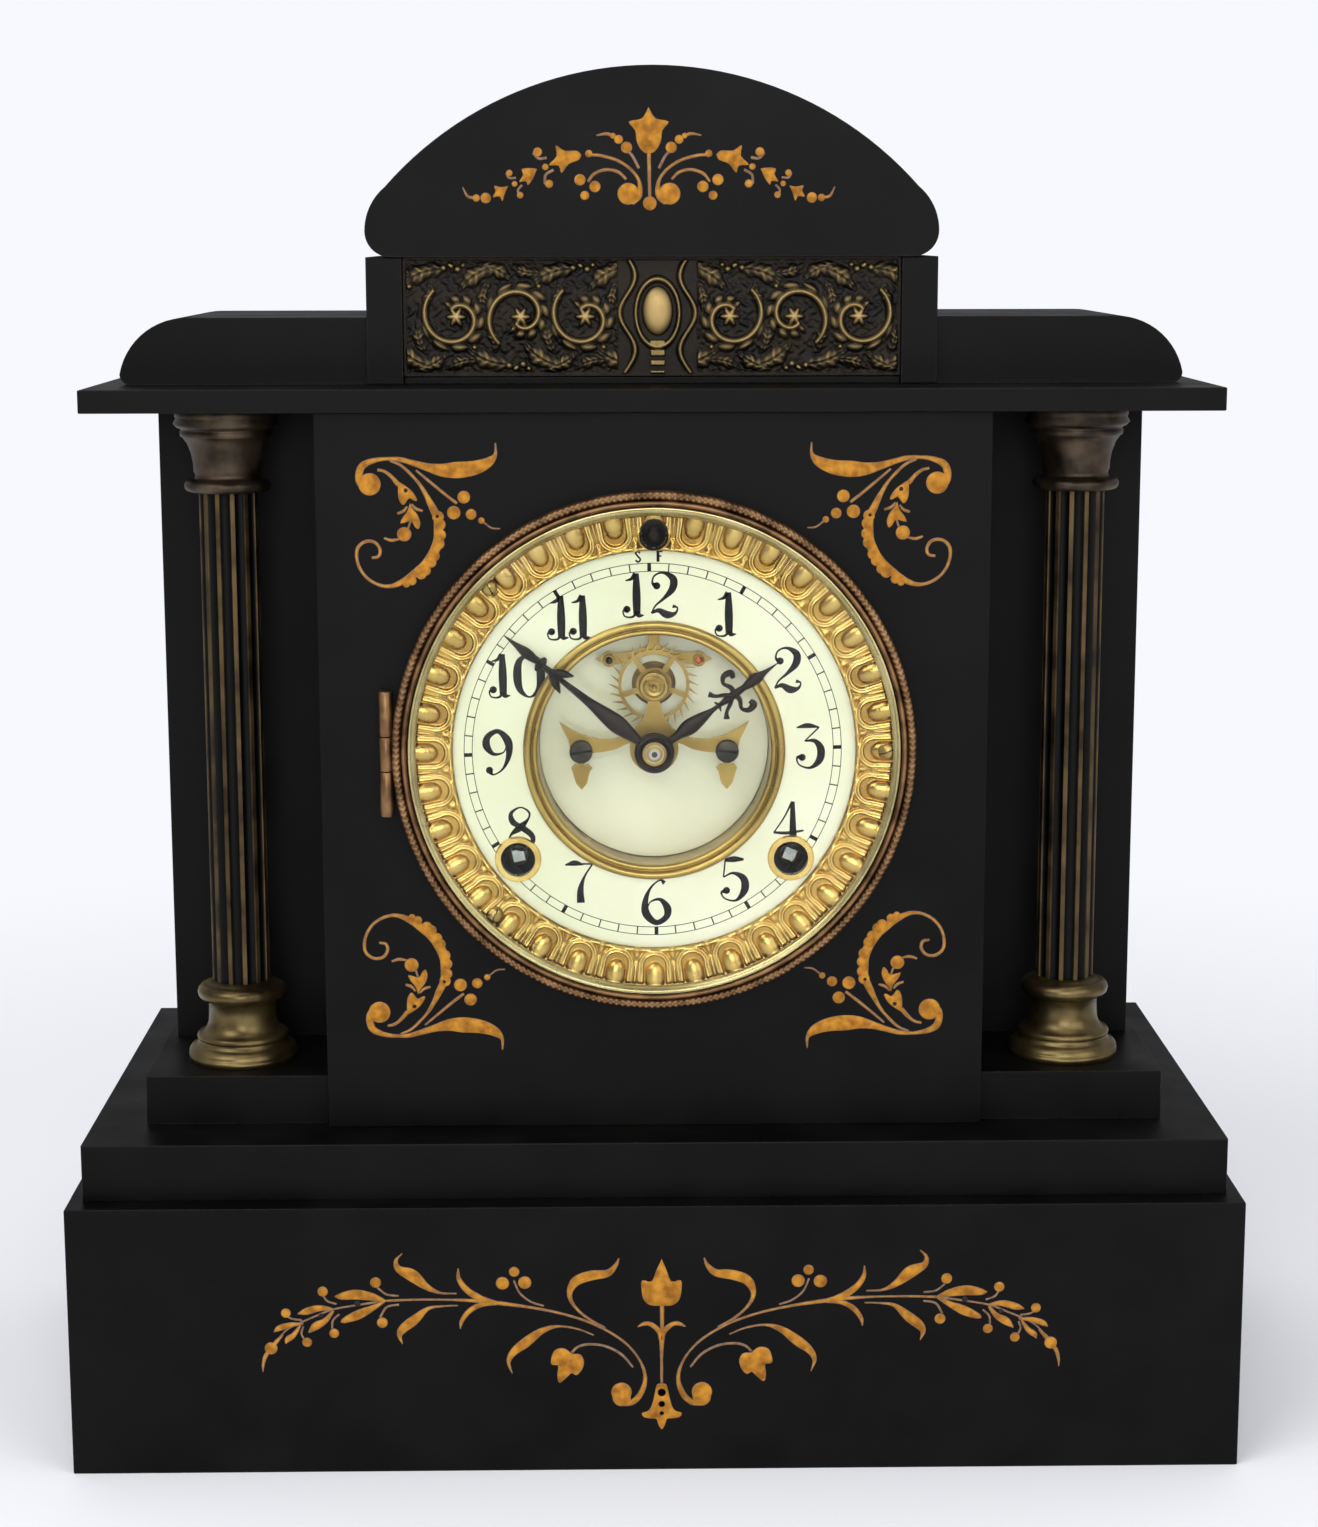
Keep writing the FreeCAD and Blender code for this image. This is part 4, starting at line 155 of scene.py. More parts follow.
def makeFinish(name, dark, light, grain, rough, relief=0.00003, fine=900, metal=0.0, worn=None,
               painted_highlight=None, shine=None, painted_groove_shade=None, coat=0.0, specular=0.5):
    # colour = mix(dark, light, broad noise), with a painted highlight on raised places, lighter
    # on worn edges, and painted shade at the bottoms of flutes; roughness follows the broad
    # noise and the bump follows the fine one
    finish = bpy.data.materials.new(name)
    finish.use_nodes = True
    tree = finish.node_tree
    shader = tree.nodes["Principled BSDF"].inputs
    shader["Metallic"].default_value = metal
    shader["Coat Weight"].default_value = coat
    shader["Specular IOR Level"].default_value = specular
    place = addNode(tree, "TexCoord", out="Object")

    def noise(scale, detail):
        return addNode(tree, "TexNoise", {"Scale": scale, "Detail": detail, "Vector": place},
                       "Fac")

    def ramp(source, low, high, first=0, last=1):
        return addNode(tree, "MapRange", {"Value": source, "From Min": low, "From Max": high,
                                          "To Min": first, "To Max": last}, "Result")

    def blend(share, *colours):
        first, second = ((*c, 1) if isinstance(c, tuple) else c for c in colours)
        return addNode(tree, "Mix", {"Factor": share, 6: first, 7: second}, 2,
                       data_type="RGBA")

    broad, small = noise(grain, 4), noise(fine, 3)
    colour = blend(ramp(broad, *mottle["tone"]), dark, light)
    # painted highlight on raised places, set by the point attribute; low places keep the darker
    # colour as painted shade
    if painted_highlight:
        height = addNode(tree, "Attribute", out="Fac", attribute_name="painted_highlight")
        colour = blend(ramp(height, *shine, 0, mottle["painted_highlight"]), colour, painted_highlight)
    if painted_groove_shade:
        # painted shade: dark where a point lies nearer to a column's axis than the crests of its
        # flutes
        across, along = (addNode(tree, "SeparateXYZ", {0: place}, key) for key in ("X", "Y"))
        aside = addNode(tree, "Math", {0: across}, operation="ABSOLUTE")
        spot = addNode(tree, "CombineXYZ", {"X": aside, "Y": along})
        reach = addNode(tree, "VectorMath", {0: spot, 1: (column["across"], column["y"], 0)},
                        "Value", operation="DISTANCE")
        colour = blend(ramp(reach, *column["grooves"]), painted_groove_shade, colour)
    if worn:
        corner = addNode(tree, "Bevel", {"Radius": mottle["edgeRadius"]}, samples=4)
        flat = addNode(tree, "NewGeometry", out="Normal")
        facing = addNode(tree, "VectorMath", {0: corner, 1: flat}, "Value",
                         operation="DOT_PRODUCT")
        share = addNode(tree, "Math", {0: ramp(facing, *mottle["edge"]),
                                       1: ramp(small, *mottle["wear"])}, operation="MULTIPLY")
        colour = blend(share, colour, worn)
    bump = addNode(tree, "Bump", {"Distance": relief, "Strength": mottle["bump"],
                                  "Height": small})
    for key, source in (("Base Color", colour), ("Normal", bump),
                        ("Roughness", ramp(broad, *mottle["rough"], *rough))):
        tree.links.new(source, shader[key])
    return finish


def makeGlass():
    # clear glass, faintly green, whose body tint is a slow noise
    glass = makeFinish("bezel_glass", dark=(0.93, 0.97, 0.92), light=(0.98, 1.0, 0.97),
                       grain=20, rough=(0.0, 0.02), relief=0.000002, fine=80)
    shader = glass.node_tree.nodes["Principled BSDF"].inputs
    shader["Transmission Weight"].default_value = 1.0
    shader["IOR"].default_value = 1.2
    return glass


materials = {name: makeFinish(name, **values) for name, values in finishes.items()}
materials["bezel_glass"] = makeGlass()


# ---- meshes from whole arrays
def meshPiece(name, points, faces, material, body, replaces=(), smooth=True):
    # one object that rides a body and takes the place of the CAD nodes that it replaces
    mesh = bpy.data.meshes.new(name)
    mesh.from_pydata(np.asarray(points, float).tolist(), [],
                     faces.tolist() if isinstance(faces, np.ndarray) else faces)
    mesh.update()
    mesh.polygons.foreach_set("use_smooth", [smooth] * len(mesh.polygons))
    piece = bpy.data.objects.new(name, mesh)
    bpy.context.scene.collection.objects.link(piece)
    piece.data.materials.append(materials[material])
    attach(piece, body)
    if replaces:
        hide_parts(*replaces)
    return piece


def outward(piece):
    # turns every face to the outside
    work = bmesh.new()
    work.from_mesh(piece.data)
    bmesh.ops.recalc_face_normals(work, faces=work.faces)
    work.to_mesh(piece.data)
    work.free()


def gridFaces(rows, columns, wrapRows, wrapColumns):
    # quads between neighbours of a rows by columns grid, wrapped where it closes
    first = np.arange(rows if wrapRows else rows - 1)
    second = np.arange(columns if wrapColumns else columns - 1)
    a, b = np.meshgrid(first, second, indexing="ij")
    c, d = (a + 1) % rows, (b + 1) % columns
    return np.stack([a * columns + b, a * columns + d, c * columns + d,
                     c * columns + b], -1).reshape(-1, 4)


def joined(parts):
    # many (points, faces) as one mesh
    points, faces, base = [], [], 0
    for some, quads in parts:
        points.append(np.asarray(some, float))
        faces += [tuple(int(v) + base for v in face) for face in quads]
        base += len(some)
    return np.concatenate(points), faces


def fullTurn(sides):
    # equal steps round a circle
    return np.linspace(0, 2 * math.pi, sides, endpoint=False)


def turnedSurface(profile, sides, axis, centre, shape=None):
    # profile point (radius, along) at angle a goes to (radius sin a, radius cos a) across
    # the axis; shape may move radius and along as a function of both
    profile = np.array(profile, float)
    angle = fullTurn(sides)[:, None]
    radius, along = (np.repeat(profile[None, :, k], sides, 0) for k in (0, 1))
    if shape:
        radius, along = shape(angle, radius, along)
    across, up = radius * np.sin(angle), radius * np.cos(angle)
    spots = (across, along, up) if axis == "Y" else (across, up, along)
    return np.stack(spots, -1).reshape(-1, 3) * mm + np.array(centre)


def turnedPiece(name, profile, sides, axis, centre, material, body, replaces=(),
                closed=False, shape=None):
    # one object from a turned surface; a closed profile is joined last point to first
    points = turnedSurface(profile, sides, axis, centre, shape)
    faces = gridFaces(sides, len(profile), True, closed)
    if axis == "Z":
        faces = faces[:, ::-1]
    return meshPiece(name, points, faces, material, body, replaces)


def dialPiece(name, profile, sides, front, material, body="case", replaces=(), closed=False,
              shape=None):
    # a turned piece on the axis through the middle of the dial
    return turnedPiece(name, profile, sides, "Y", (0, front, dialHeight), material, body,
                       replaces, closed, shape)


def smoothLine(points, perSpan):
    # Catmull-Rom spline through the given rows, all spans at once: between b and c it is
    # half of 2b + (c-a)t + (2a-5b+4c-d)t^2 + (3b-a-3c+d)t^3; two rows give a straight line
    rows = np.array(points, float)
    if len(rows) == 2:
        share = np.linspace(0, 1, perSpan + 1)[:, None]
        return rows[0] * (1 - share) + rows[1] * share
    ends = np.concatenate([2 * rows[:1] - rows[1:2], rows, 2 * rows[-1:] - rows[-2:-1]])
    t = np.linspace(0, 1, perSpan, endpoint=False)[None, :, None]
    a, b, c, d = (ends[k:len(ends) - 3 + k][:, None, :] for k in range(4))
    spans = 0.5 * (2 * b + (c - a) * t + (2 * a - 5 * b + 4 * c - d) * t ** 2
                   + (3 * b - a - 3 * c + d) * t ** 3)
    return np.concatenate([spans.reshape(-1, rows.shape[1]), rows[-1:]])


def ribbon(rows, height, perSpan=6):
    # rows (x, z, width): a smooth line moved half the width to both sides along its normal,
    # as a low bar with sloped flanks
    rows = smoothLine(rows, perSpan)
    line, half = rows[:, :2], np.maximum(rows[:, 2:3], 0.05) / 2
    way = np.gradient(line, axis=0)
    way /= np.linalg.norm(way, axis=1, keepdims=True) + 1e-12
    side = np.column_stack([-way[:, 1], way[:, 0]])
    inner = np.maximum(half - height, half * 0.4)
    foot, top = np.zeros(len(line)), np.full(len(line), height)
    rings = np.stack([np.column_stack([line + side * half, foot]),
                      np.column_stack([line + side * inner, top]),
                      np.column_stack([line - side * inner, top]),
                      np.column_stack([line - side * half, foot])], 1)
    faces = gridFaces(len(line), 4, False, True).tolist()
    last = 4 * (len(line) - 1)
    faces += [(0, 1, 2, 3), (last + 3, last + 2, last + 1, last)]
    return rings.reshape(-1, 3), faces


def bar(x1, z1, x2, z2, width, height):
    # a straight ribbon between two places
    return ribbon([(x1, z1, width), (x2, z2, width)], height, 1)


def fanPlate(outline, height, bevel):
    # an outline raised to a plateau, pulled in by the bevel towards its middle: the inner
    # ring is middle + away (1 - min(bevel / distance, 0.4))
    ring = np.array(outline, float)
    middle = ring.mean(0)
    spread = np.linalg.norm(ring - middle, axis=1, keepdims=True)
    inner = middle + (ring - middle) * (1 - np.minimum(bevel / spread, 0.4))
    count = len(ring)
    points = np.concatenate([
        np.column_stack([ring, np.zeros(count)]),
        np.column_stack([inner, np.full(count, height)]),
        [[*middle, height]], [[*middle, 0]]])
    # for each side a flank, a piece of the top and a piece of the foot
    here = np.arange(count)
    after, peak = (here + 1) % count, np.full(count, 2 * count)
    trios = zip(np.stack([here, after, count + after, count + here], -1).tolist(),
                np.stack([count + here, count + after, peak], -1).tolist(),
                np.stack([after, here, peak + 1], -1).tolist())
    return points, [face for trio in trios for face in trio]


def discPlate(across, up, radius, height, bevel, sides=28):
    # a round plate: its outline is (across + radius cos a, up + radius sin a)
    turn = fullTurn(sides)
    return fanPlate(np.column_stack([across + radius * np.cos(turn),
                                     up + radius * np.sin(turn)]), height, bevel)


def flatRing(inner, outer, height, sides=240):
    # points (radius sin a, radius cos a) of both edges, at the foot and at the height
    turn = fullTurn(sides)[:, None]
    rings = np.stack([np.column_stack([r * np.sin(turn), r * np.cos(turn),
                                       np.full((sides, 1), h)])
                      for r, h in ((outer, 0), (outer, height), (inner, height), (inner, 0))], 1)
    return rings.reshape(-1, 3), gridFaces(sides, 4, True, True).tolist()


def onFace(parts, faceY, mirrors=((1, 1),), centre=(0.0, 0.0), step=0.0):
    # flat (x, z, height) parts in mm put on a front face, once for each mirror (sx, sz) about
    # the centre; each part stands a step higher than the one before, so that none coincide
    out = []
    for order, (points, faces) in enumerate(parts):
        points = np.array(points, float)
        points[:, 2] *= 1 + step * order
        for sx, sz in mirrors:
            out.append((np.column_stack([centre[0] + sx * (points[:, 0] * mm - centre[0]),
                                         faceY - points[:, 2] * mm,
                                         centre[1] + sz * (points[:, 1] * mm - centre[1])]),
                        faces))
    return joined(out)


def facePiece(name, parts, faceY, material, body="case", replaces=()):
    # one object from flat parts on a front face
    outward(meshPiece(name, *onFace(parts, faceY), material, body, replaces))


def clockwise(points, turn):
    # (x, z) of the points turned clockwise about the middle of the dial and moved up to it
    x, z = points[:, 0].copy(), points[:, 1].copy()
    points[:, 0] = x * math.cos(turn) + z * math.sin(turn)
    points[:, 1] = -x * math.sin(turn) + z * math.cos(turn) + dialHeight / mm
    return points


# ---- gilt scroll work cut into the slate: rows (x, z, width) in mm on each face
plinthScroll = {
    "lines": [
        [(12.57, 19.91, 1.13), (9.83, 20.57, 1.61), (7.49, 23.06, 1.61), (6.16, 27.22, 1.13),
         (6.86, 31.37, 0.73), (9.44, 35.94, 0.56), (13.75, 40.1, 0.65), (20.79, 44.25, 0.65),
         (29.39, 47.33, 0.65), (38.78, 49.41, 0.73), (48.17, 50.82, 1.13), (54.03, 51.48, 1.05),
         (62.25, 51.9, 0.56), (71.64, 51.98, 0.56), (80.24, 51.73, 0.65)],
        [(48.17, 50.82, 0.81), (52.86, 52.15, 1.78), (56.77, 54.64, 1.78), (59.12, 57.97, 1.29),
         (59.35, 61.29, 0.24)],
        [(48.17, 50.65, 0.81), (52.86, 50.32, 1.29), (56.38, 48.41, 1.45), (58.49, 45.5, 1.13),
         (58.96, 43.17, 0.24)],
        [(17.42, 43.17, 0.32), (22.35, 45.92, 0.65), (26.26, 49.66, 0.81), (27.67, 53.4, 1.45),
         (25.87, 57.13, 2.74), (21.57, 58.8, 2.91), (16.88, 59.46, 2.1), (14.53, 61.71, 1.13),
         (13.51, 63.95, 0.24)],
        [(20.79, 40.93, 0.32), (25.48, 42.84, 0.48), (30.96, 43.67, 0.65), (35.65, 42.34, 1.78),
         (40.34, 38.85, 2.91), (43.86, 35.94, 2.1), (45.27, 33.04, 1.13), (44.26, 29.55, 0.16)],
        [(9.6, 31.12, 0.48), (12.96, 35.11, 0.65), (17.66, 37.61, 0.65), (22.35, 38.19, 0.65),
         (25.48, 37.36, 0.65), (27.2, 35.7, 0.65)],
        [(35.02, 49.82, 0.48), (38.78, 51.15, 0.48), (41.91, 53.81, 0.48), (43.55, 57.55, 0.48)],
        [(59.9, 53.73, 0.32), (64.6, 53.98, 0.65), (68.51, 55.89, 1.94), (72.42, 59.21, 3.55),
         (76.33, 61.29, 1.94), (76.96, 63.78, 0.97), (75.16, 65.86, 0.16)],
        [(59.51, 50.15, 0.32), (63.81, 49.99, 0.48), (68.12, 49.24, 1.13), (72.03, 45.92, 2.74),
         (75.16, 43.42, 2.58), (76.33, 41.35, 1.45), (75.55, 38.69, 0.16)],
        [(76.33, 53.15, 0.48), (79.85, 53.64, 0.48), (82.43, 55.64, 0.48)],
        [(76.33, 50.57, 0.48), (79.85, 49.82, 0.56), (81.81, 46.75, 0.56)],
        [(80.24, 51.73, 0.65), (84.15, 52.98, 2.26), (88.85, 53.64, 2.91), (92.76, 53.15, 1.94),
         (94.64, 53.15, 0.16)],
        [(80.24, 51.73, 0.65), (83.76, 49.66, 1.61), (88.06, 47.58, 2.74), (91.98, 45.92, 1.61),
         (93.07, 45.42, 0.24)],
        [(80.24, 51.73, 0.65), (87.28, 50.65, 0.48), (95.11, 49.24, 0.48), (101.36, 46.75, 0.48),
         (107.62, 43.84, 0.4), (110.75, 40.93, 0.4)],
        [(94.17, 50.82, 0.48), (96.67, 51.73, 0.48), (97.92, 53.4, 0.48)],
        [(93.38, 47.83, 0.48), (95.26, 45.92, 0.48), (95.57, 43.42, 0.48)],
        [(95.11, 49.24, 0.65), (99.02, 49.66, 1.78), (102.93, 48.66, 1.94),
         (105.28, 47.99, 0.24)],
        [(95.11, 48.82, 0.65), (97.45, 45.92, 1.61), (100.19, 44.25, 2.26), (102.3, 42.34, 0.32)],
        [(104.1, 46.08, 0.48), (106.84, 46.5, 0.48), (108.4, 47.33, 0.48)],
        [(103.71, 44.25, 0.48), (104.34, 42.18, 0.48), (103.71, 40.52, 0.48)],
        [(103.71, 45.09, 0.48), (107.62, 44.67, 1.45), (110.75, 43.67, 1.61),
         (112.16, 42.59, 0.24)],
        [(104.49, 44.67, 0.48), (106.45, 41.76, 1.45), (108.25, 40.35, 1.61),
         (108.95, 39.02, 0.24)],
        [(109.58, 41.76, 0.32), (111.53, 39.68, 1.13), (113.1, 37.69, 0.97),
         (114.66, 35.53, 1.13), (115.44, 33.04, 0.81), (115.6, 30.54, 0.16)],
        [(1.54, 49.91, 1.13), (1.54, 41.35, 0.97)],
        [(1.54, 39.52, 1.13), (2.17, 42.01, 1.45), (4.36, 44.01, 1.29), (6.31, 44.25, 1.13),
         (8.27, 43.34, 0.24)],
        [(1.46, 40.52, 1.61), (1.39, 34.7, 0.81), (1.39, 25.56, 0.73)],
    ],
    "balls": [(12.96, 23.6, 2.9), (12.9, 22, 2.6), (40.42, 56.89, 1.86), (43.4, 60.13, 1.45),
              (46.76, 56.72, 1.86), (82.9, 57.22, 1.53), (81.18, 45.17, 1.53), (98, 54.64, 1.45),
              (94.95, 42.09, 1.37), (108.64, 48.24, 1.37), (102.77, 39.43, 1.37),
              (113.1, 37.69, 1.78)],
    "shapes": [
        [(27.05, 35.36), (29.39, 37.02), (31.9, 36.53), (32.99, 34.28), (32.99, 32.2),
         (31.11, 31.79), (31.35, 28.88), (30.72, 26.64), (28.45, 28.47), (27.2, 29.55),
         (25.87, 28.88), (24.31, 30.54), (23.68, 33.04), (24.7, 35.11)],
        [(1.46, 49.66), (1.46, 63.62), (2.79, 60.46), (4.2, 56.97), (6.86, 57.3), (7.1, 54.64),
         (6.55, 51.73), (4.75, 49.91)],
        [(1.39, 12.26), (1.39, 26.22), (2.79, 25.72), (3.42, 23.06), (4.2, 19.74), (5.3, 17.91),
         (7.1, 17.25), (6.55, 16), (4.75, 15.59), (2.95, 15.42), (2.4, 13.76)],
    ],
}
cornerScroll = {
    "lines": [
        [(-81.4, 281.6, 1.6), (-82.3, 283.25, 1.9), (-82.3, 285.5, 2), (-81.32, 287.59, 1.92),
         (-78.45, 288.98, 1.41), (-74.61, 289.52, 0.96), (-70.77, 289.3, 1.28),
         (-66.93, 288.24, 1.6), (-63.1, 287.11, 2.24), (-59.26, 286.31, 3.52),
         (-55.42, 286.31, 4.48), (-51.58, 286.63, 4.16), (-48.38, 287.43, 3.52),
         (-45.83, 288.72, 2.56), (-44.23, 290.65, 0.96), (-44.16, 293.86, 0.32)],
        [(-73.65, 288.98, 0.51), (-70.77, 287.75, 0.7), (-68.21, 285.5, 0.77),
         (-65.65, 282.61, 0.83), (-63.73, 279.4, 1.28), (-62.14, 276.18, 1.92),
         (-60.7, 272.97, 2.24), (-60.38, 269.75, 2.56), (-60.54, 266.54, 2.75),
         (-61.82, 263.32, 2.69), (-64.05, 260.11, 2.43), (-66.93, 257.53, 2.3),
         (-70.13, 255.28, 1.79), (-73.65, 253.84, 1.15), (-76.85, 254, 0.83),
         (-80.04, 255.6, 0.77), (-82.28, 258.18, 0.77), (-83.4, 261.39, 0.83),
         (-83.24, 264.29, 0.9), (-81.64, 266.05, 0.83), (-79.56, 266.47, 0.83),
         (-77.81, 265.73, 0.83), (-76.85, 263.96, 0.83), (-77.33, 262.2, 0.83),
         (-79.25, 261.78, 0.64)],
        [(-77.23, 286.47, 0.7), (-75.25, 285.99, 0.77), (-73.33, 284.54, 0.96),
         (-71.41, 282.29, 1.28)],
        [(-71.89, 274.19, 0.58), (-70.13, 274.89, 0.77), (-69.01, 276.18, 0.45)],
        [(-67.89, 276.82, 0.45), (-66.61, 275.54, 0.77), (-64.69, 274.89, 0.58)],
        [(-68.21, 272, 0.51), (-68.85, 270.07, 0.51)],
        [(-71.41, 267.02, 0.51), (-73.65, 266.7, 0.83), (-75.73, 267.34, 0.51)],
        [(-66.45, 286.31, 0.51), (-62.46, 282.93, 0.7), (-58.62, 279.72, 0.77),
         (-55.1, 276.98, 0.7)],
        [(-47.74, 271.68, 0.45), (-45.51, 270.07, 0.45), (-43.11, 269.85, 0.26)],
    ],
    "balls": [(-79.5, 282.4, 3.1), (-60.45, 273.2, 1.6), (-60, 271.05, 1.6), (-60, 268.15, 1.65),
              (-60.45, 265.7, 1.65), (-61.78, 262.35, 1.6), (-62.72, 260.55, 1.6),
              (-64.22, 258.2, 1.5), (-65.44, 257.15, 1.5), (-68.05, 255.25, 1.25),
              (-69.65, 254.4, 1), (-70.03, 268.4, 1.98), (-53.18, 278.75, 1.76),
              (-56.06, 274.41, 1.86), (-51.2, 273.93, 1.47), (-48.32, 272.16, 0.9)],
    "shapes": [
        [(-71.57, 283.25), (-69.49, 281.97), (-67.57, 280.36), (-66.29, 278.11), (-66.93, 277.72),
         (-68.21, 278.43), (-68.85, 278.11), (-69.97, 276.66), (-70.93, 277.31), (-71.51, 279.4)],
        [(-68.31, 277.15), (-67.57, 275.54), (-66.29, 273.93), (-65.49, 271.68), (-65.97, 269.91),
         (-66.93, 270.39), (-67.73, 271.84), (-68.69, 272), (-70.93, 271.42), (-70.45, 272.97),
         (-69.01, 274.89)],
    ],
}
archScroll = {
    "lines": [
        [(-0.88, 373.43, 1), (-0.66, 360.86, 0.78)],
        [(4.03, 359.75, 1.56), (1.91, 361.98, 1.78), (1.91, 365.87, 0.89), (4.37, 369.2, 0.78),
         (8.28, 371.65, 0.78), (12.74, 372.87, 0.78), (15.54, 373.1, 0.78)],
        [(5.49, 366.31, 0.67), (7.72, 368.31, 0.78), (11.07, 368.98, 0.78), (14.42, 367.87, 0.78),
         (16.32, 365.65, 0.67)],
        [(1.91, 369.32, 0.67), (3.59, 372.54, 0.67), (4.7, 373.87, 0.67)],
        [(9.17, 378.32, 0.89), (11.07, 378.88, 0.78), (13.86, 378.43, 0.33)],
        [(27.82, 372.32, 0.67), (30.05, 372.1, 0.67), (31.73, 373.65, 0.56)],
        [(25.92, 368.98, 0.67), (28.15, 367.54, 0.67), (28.38, 364.98, 0.67)],
        [(36.53, 366.76, 0.56), (38.43, 366.76, 0.56), (39.32, 368.09, 0.56)],
        [(34.85, 364.76, 0.56), (35.97, 363.42, 0.56), (35.75, 361.86, 0.56)],
        [(47.81, 361.2, 0.78), (50.15, 361.64, 0.67), (51.6, 364.2, 0.22)],
    ],
    "balls": [(-0.66, 359.64, 1.9), (4.93, 362.31, 3.01), (15.98, 373.43, 1),
              (14.31, 364.31, 1.56), (18.55, 366.2, 1.56), (17.21, 361.86, 1.23),
              (5.37, 375.1, 1.56), (7.61, 377.32, 1.23), (9.17, 378.32, 0.78),
              (28.26, 369.76, 0.89), (30.39, 373.87, 1.23), (27.26, 365.09, 1.11),
              (36.97, 365.09, 0.78), (38.43, 368.09, 0.89), (35.41, 361.98, 0.89),
              (45.13, 361.2, 1.45), (47.81, 361.2, 1)],
    "shapes": [
        [(-0.99, 373.43), (-0.99, 386.11), (1.02, 383.1), (4.7, 382.21), (2.92, 379.77),
         (2.47, 376.77), (1.02, 374.21)],
        [(18.1, 373.1), (19.44, 374.21), (22.79, 374.21), (25.25, 375.65), (25.03, 372.76),
         (27.26, 370.32), (24.47, 370.09), (23.69, 368.09), (21.68, 370.54), (18.89, 371.65)],
        [(30.61, 369.2), (32.28, 369.43), (34.85, 369.2), (34.52, 367.54), (35.63, 365.65),
         (33.74, 365.87), (33.18, 364.76), (31.73, 366.76)],
        [(38.76, 364.53), (40.66, 364.2), (42.67, 364.53), (42.33, 363.09), (43.12, 361.42),
         (41.22, 361.64), (40.44, 360.31), (39.77, 362.31)],
    ],
}
scrollCut = {"height": 0.09, "perSpan": 7, "onAxis": 0.35, "step": 0.012, "middleStep": 0.02,
             "goldWidth": (1.1, 0.42), "leastGold": 0.4,
             "eyeHeight": 0.03, "eyeLift": 1.8}
# finish, growth of every outline, and lift as a share of the height
scrollLayers = {"edge": ("gilt_edge", 0.16, 0.0), "gold": ("gilt_inlay", -0.1, 0.7)}


def makeScrollWork(name, scroll, faceY, mirrors, centre, holes=()):
    # a wide tan edge below, narrower bright gold on top of it; pieces on the mirror axis are
    # placed once, all others once for each mirror
    high, axis = scrollCut["height"], centre[0] / mm
    share, less = scrollCut["goldWidth"]
    for layer, (finish, grow, lift) in scrollLayers.items():
        parts, single = [], []
        for line in scroll["lines"]:
            rows = np.array(line, float)
            if grow > 0:
                rows[:, 2] += grow
            else:
                rows[:, 2] = np.maximum(rows[:, 2] * share - less, 0.03)
                if rows[:, 2].max() < scrollCut["leastGold"]:
                    continue
            middle = np.abs(rows[:, 0] - axis).max() < scrollCut["onAxis"]
            (single if middle else parts).append(ribbon(rows, high, scrollCut["perSpan"]))
        for across, up, radius in scroll["balls"]:
            middle = abs(across - axis) < scrollCut["onAxis"]
            (single if middle else parts).append(
                discPlate(across, up, radius + grow / 2, high, high))
        for outline in scroll["shapes"]:
            half = min(abs(x - axis) for x, _ in outline) < scrollCut["onAxis"]
            if half:
                # foot, tip, then one side: the other side is its mirror image
                side = outline[2:]
                outline = ([outline[1]] + side + [outline[0]]
                           + [(2 * axis - x, z) for x, z in side[::-1]])
            ring = smoothLine(outline + outline[:1], 3)[:-1]
            away = ring - ring.mean(0)
            length = np.linalg.norm(away, axis=1, keepdims=True)
            ring = ring.mean(0) + away * (1 + grow / 2 / length)
            (single if half else parts).append(fanPlate(ring, high, high))
        face = faceY - high * lift * mm + hair
        placed = [onFace(parts, face, mirrors, centre, scrollCut["step"])]
        if single:
            placed.append(onFace(single, face, step=scrollCut["middleStep"]))
        outward(meshPiece(f"{name}_{layer}", *joined(placed), finish, "case"))
    if holes:
        flat = scrollCut["eyeHeight"]
        parts = [discPlate(across, up, radius, flat, flat, 16) for across, up, radius in holes]
        points, faces = onFace(parts, faceY - scrollCut["eyeLift"] * high * mm, mirrors, centre)
        outward(meshPiece(f"{name}_eyes", points, faces, "black_slate", "case"))


makeScrollWork("plinth_scrolls", plinthScroll, plinthFront, ((1, 1), (-1, 1)), (0.0014, 0),
               holes=[(1.35, 23.5, 1.15), (1.35, 20.0, 0.9), (1.35, 17.2, 0.6),
                      (88.2, 51.0, 0.9), (98.6, 47.4, 0.7)])
makeScrollWork("panel_scrolls", cornerScroll, panelFront,
               ((1, 1), (-1, 1), (1, -1), (-1, -1)), (0.0, dialHeight),
               holes=[(-69.4, 280.7, 0.6), (-60.7, 273.4, 0.5)])
makeScrollWork("arch_scrolls", archScroll, archFront, ((1, 1), (-1, 1)), (-0.0009, 0))
print("stage: scroll work done")


# ---- bezel: rope-cut rim, dark groove, bead and inner rim; radii and depths in mm
bezel = {"strands": 270, "slant": 3.2, "ropeDepth": 0.3, "roll": (73.1, -4.0, 1.25),
         "bead": (70.95, -4.3, 0.8, 0.9), "hinge": (0.0021, -0.0579), "knuckle": 2.0,
         "moving": 0.0049, "fixed": 0.0051, "leafWidth": 2.4}


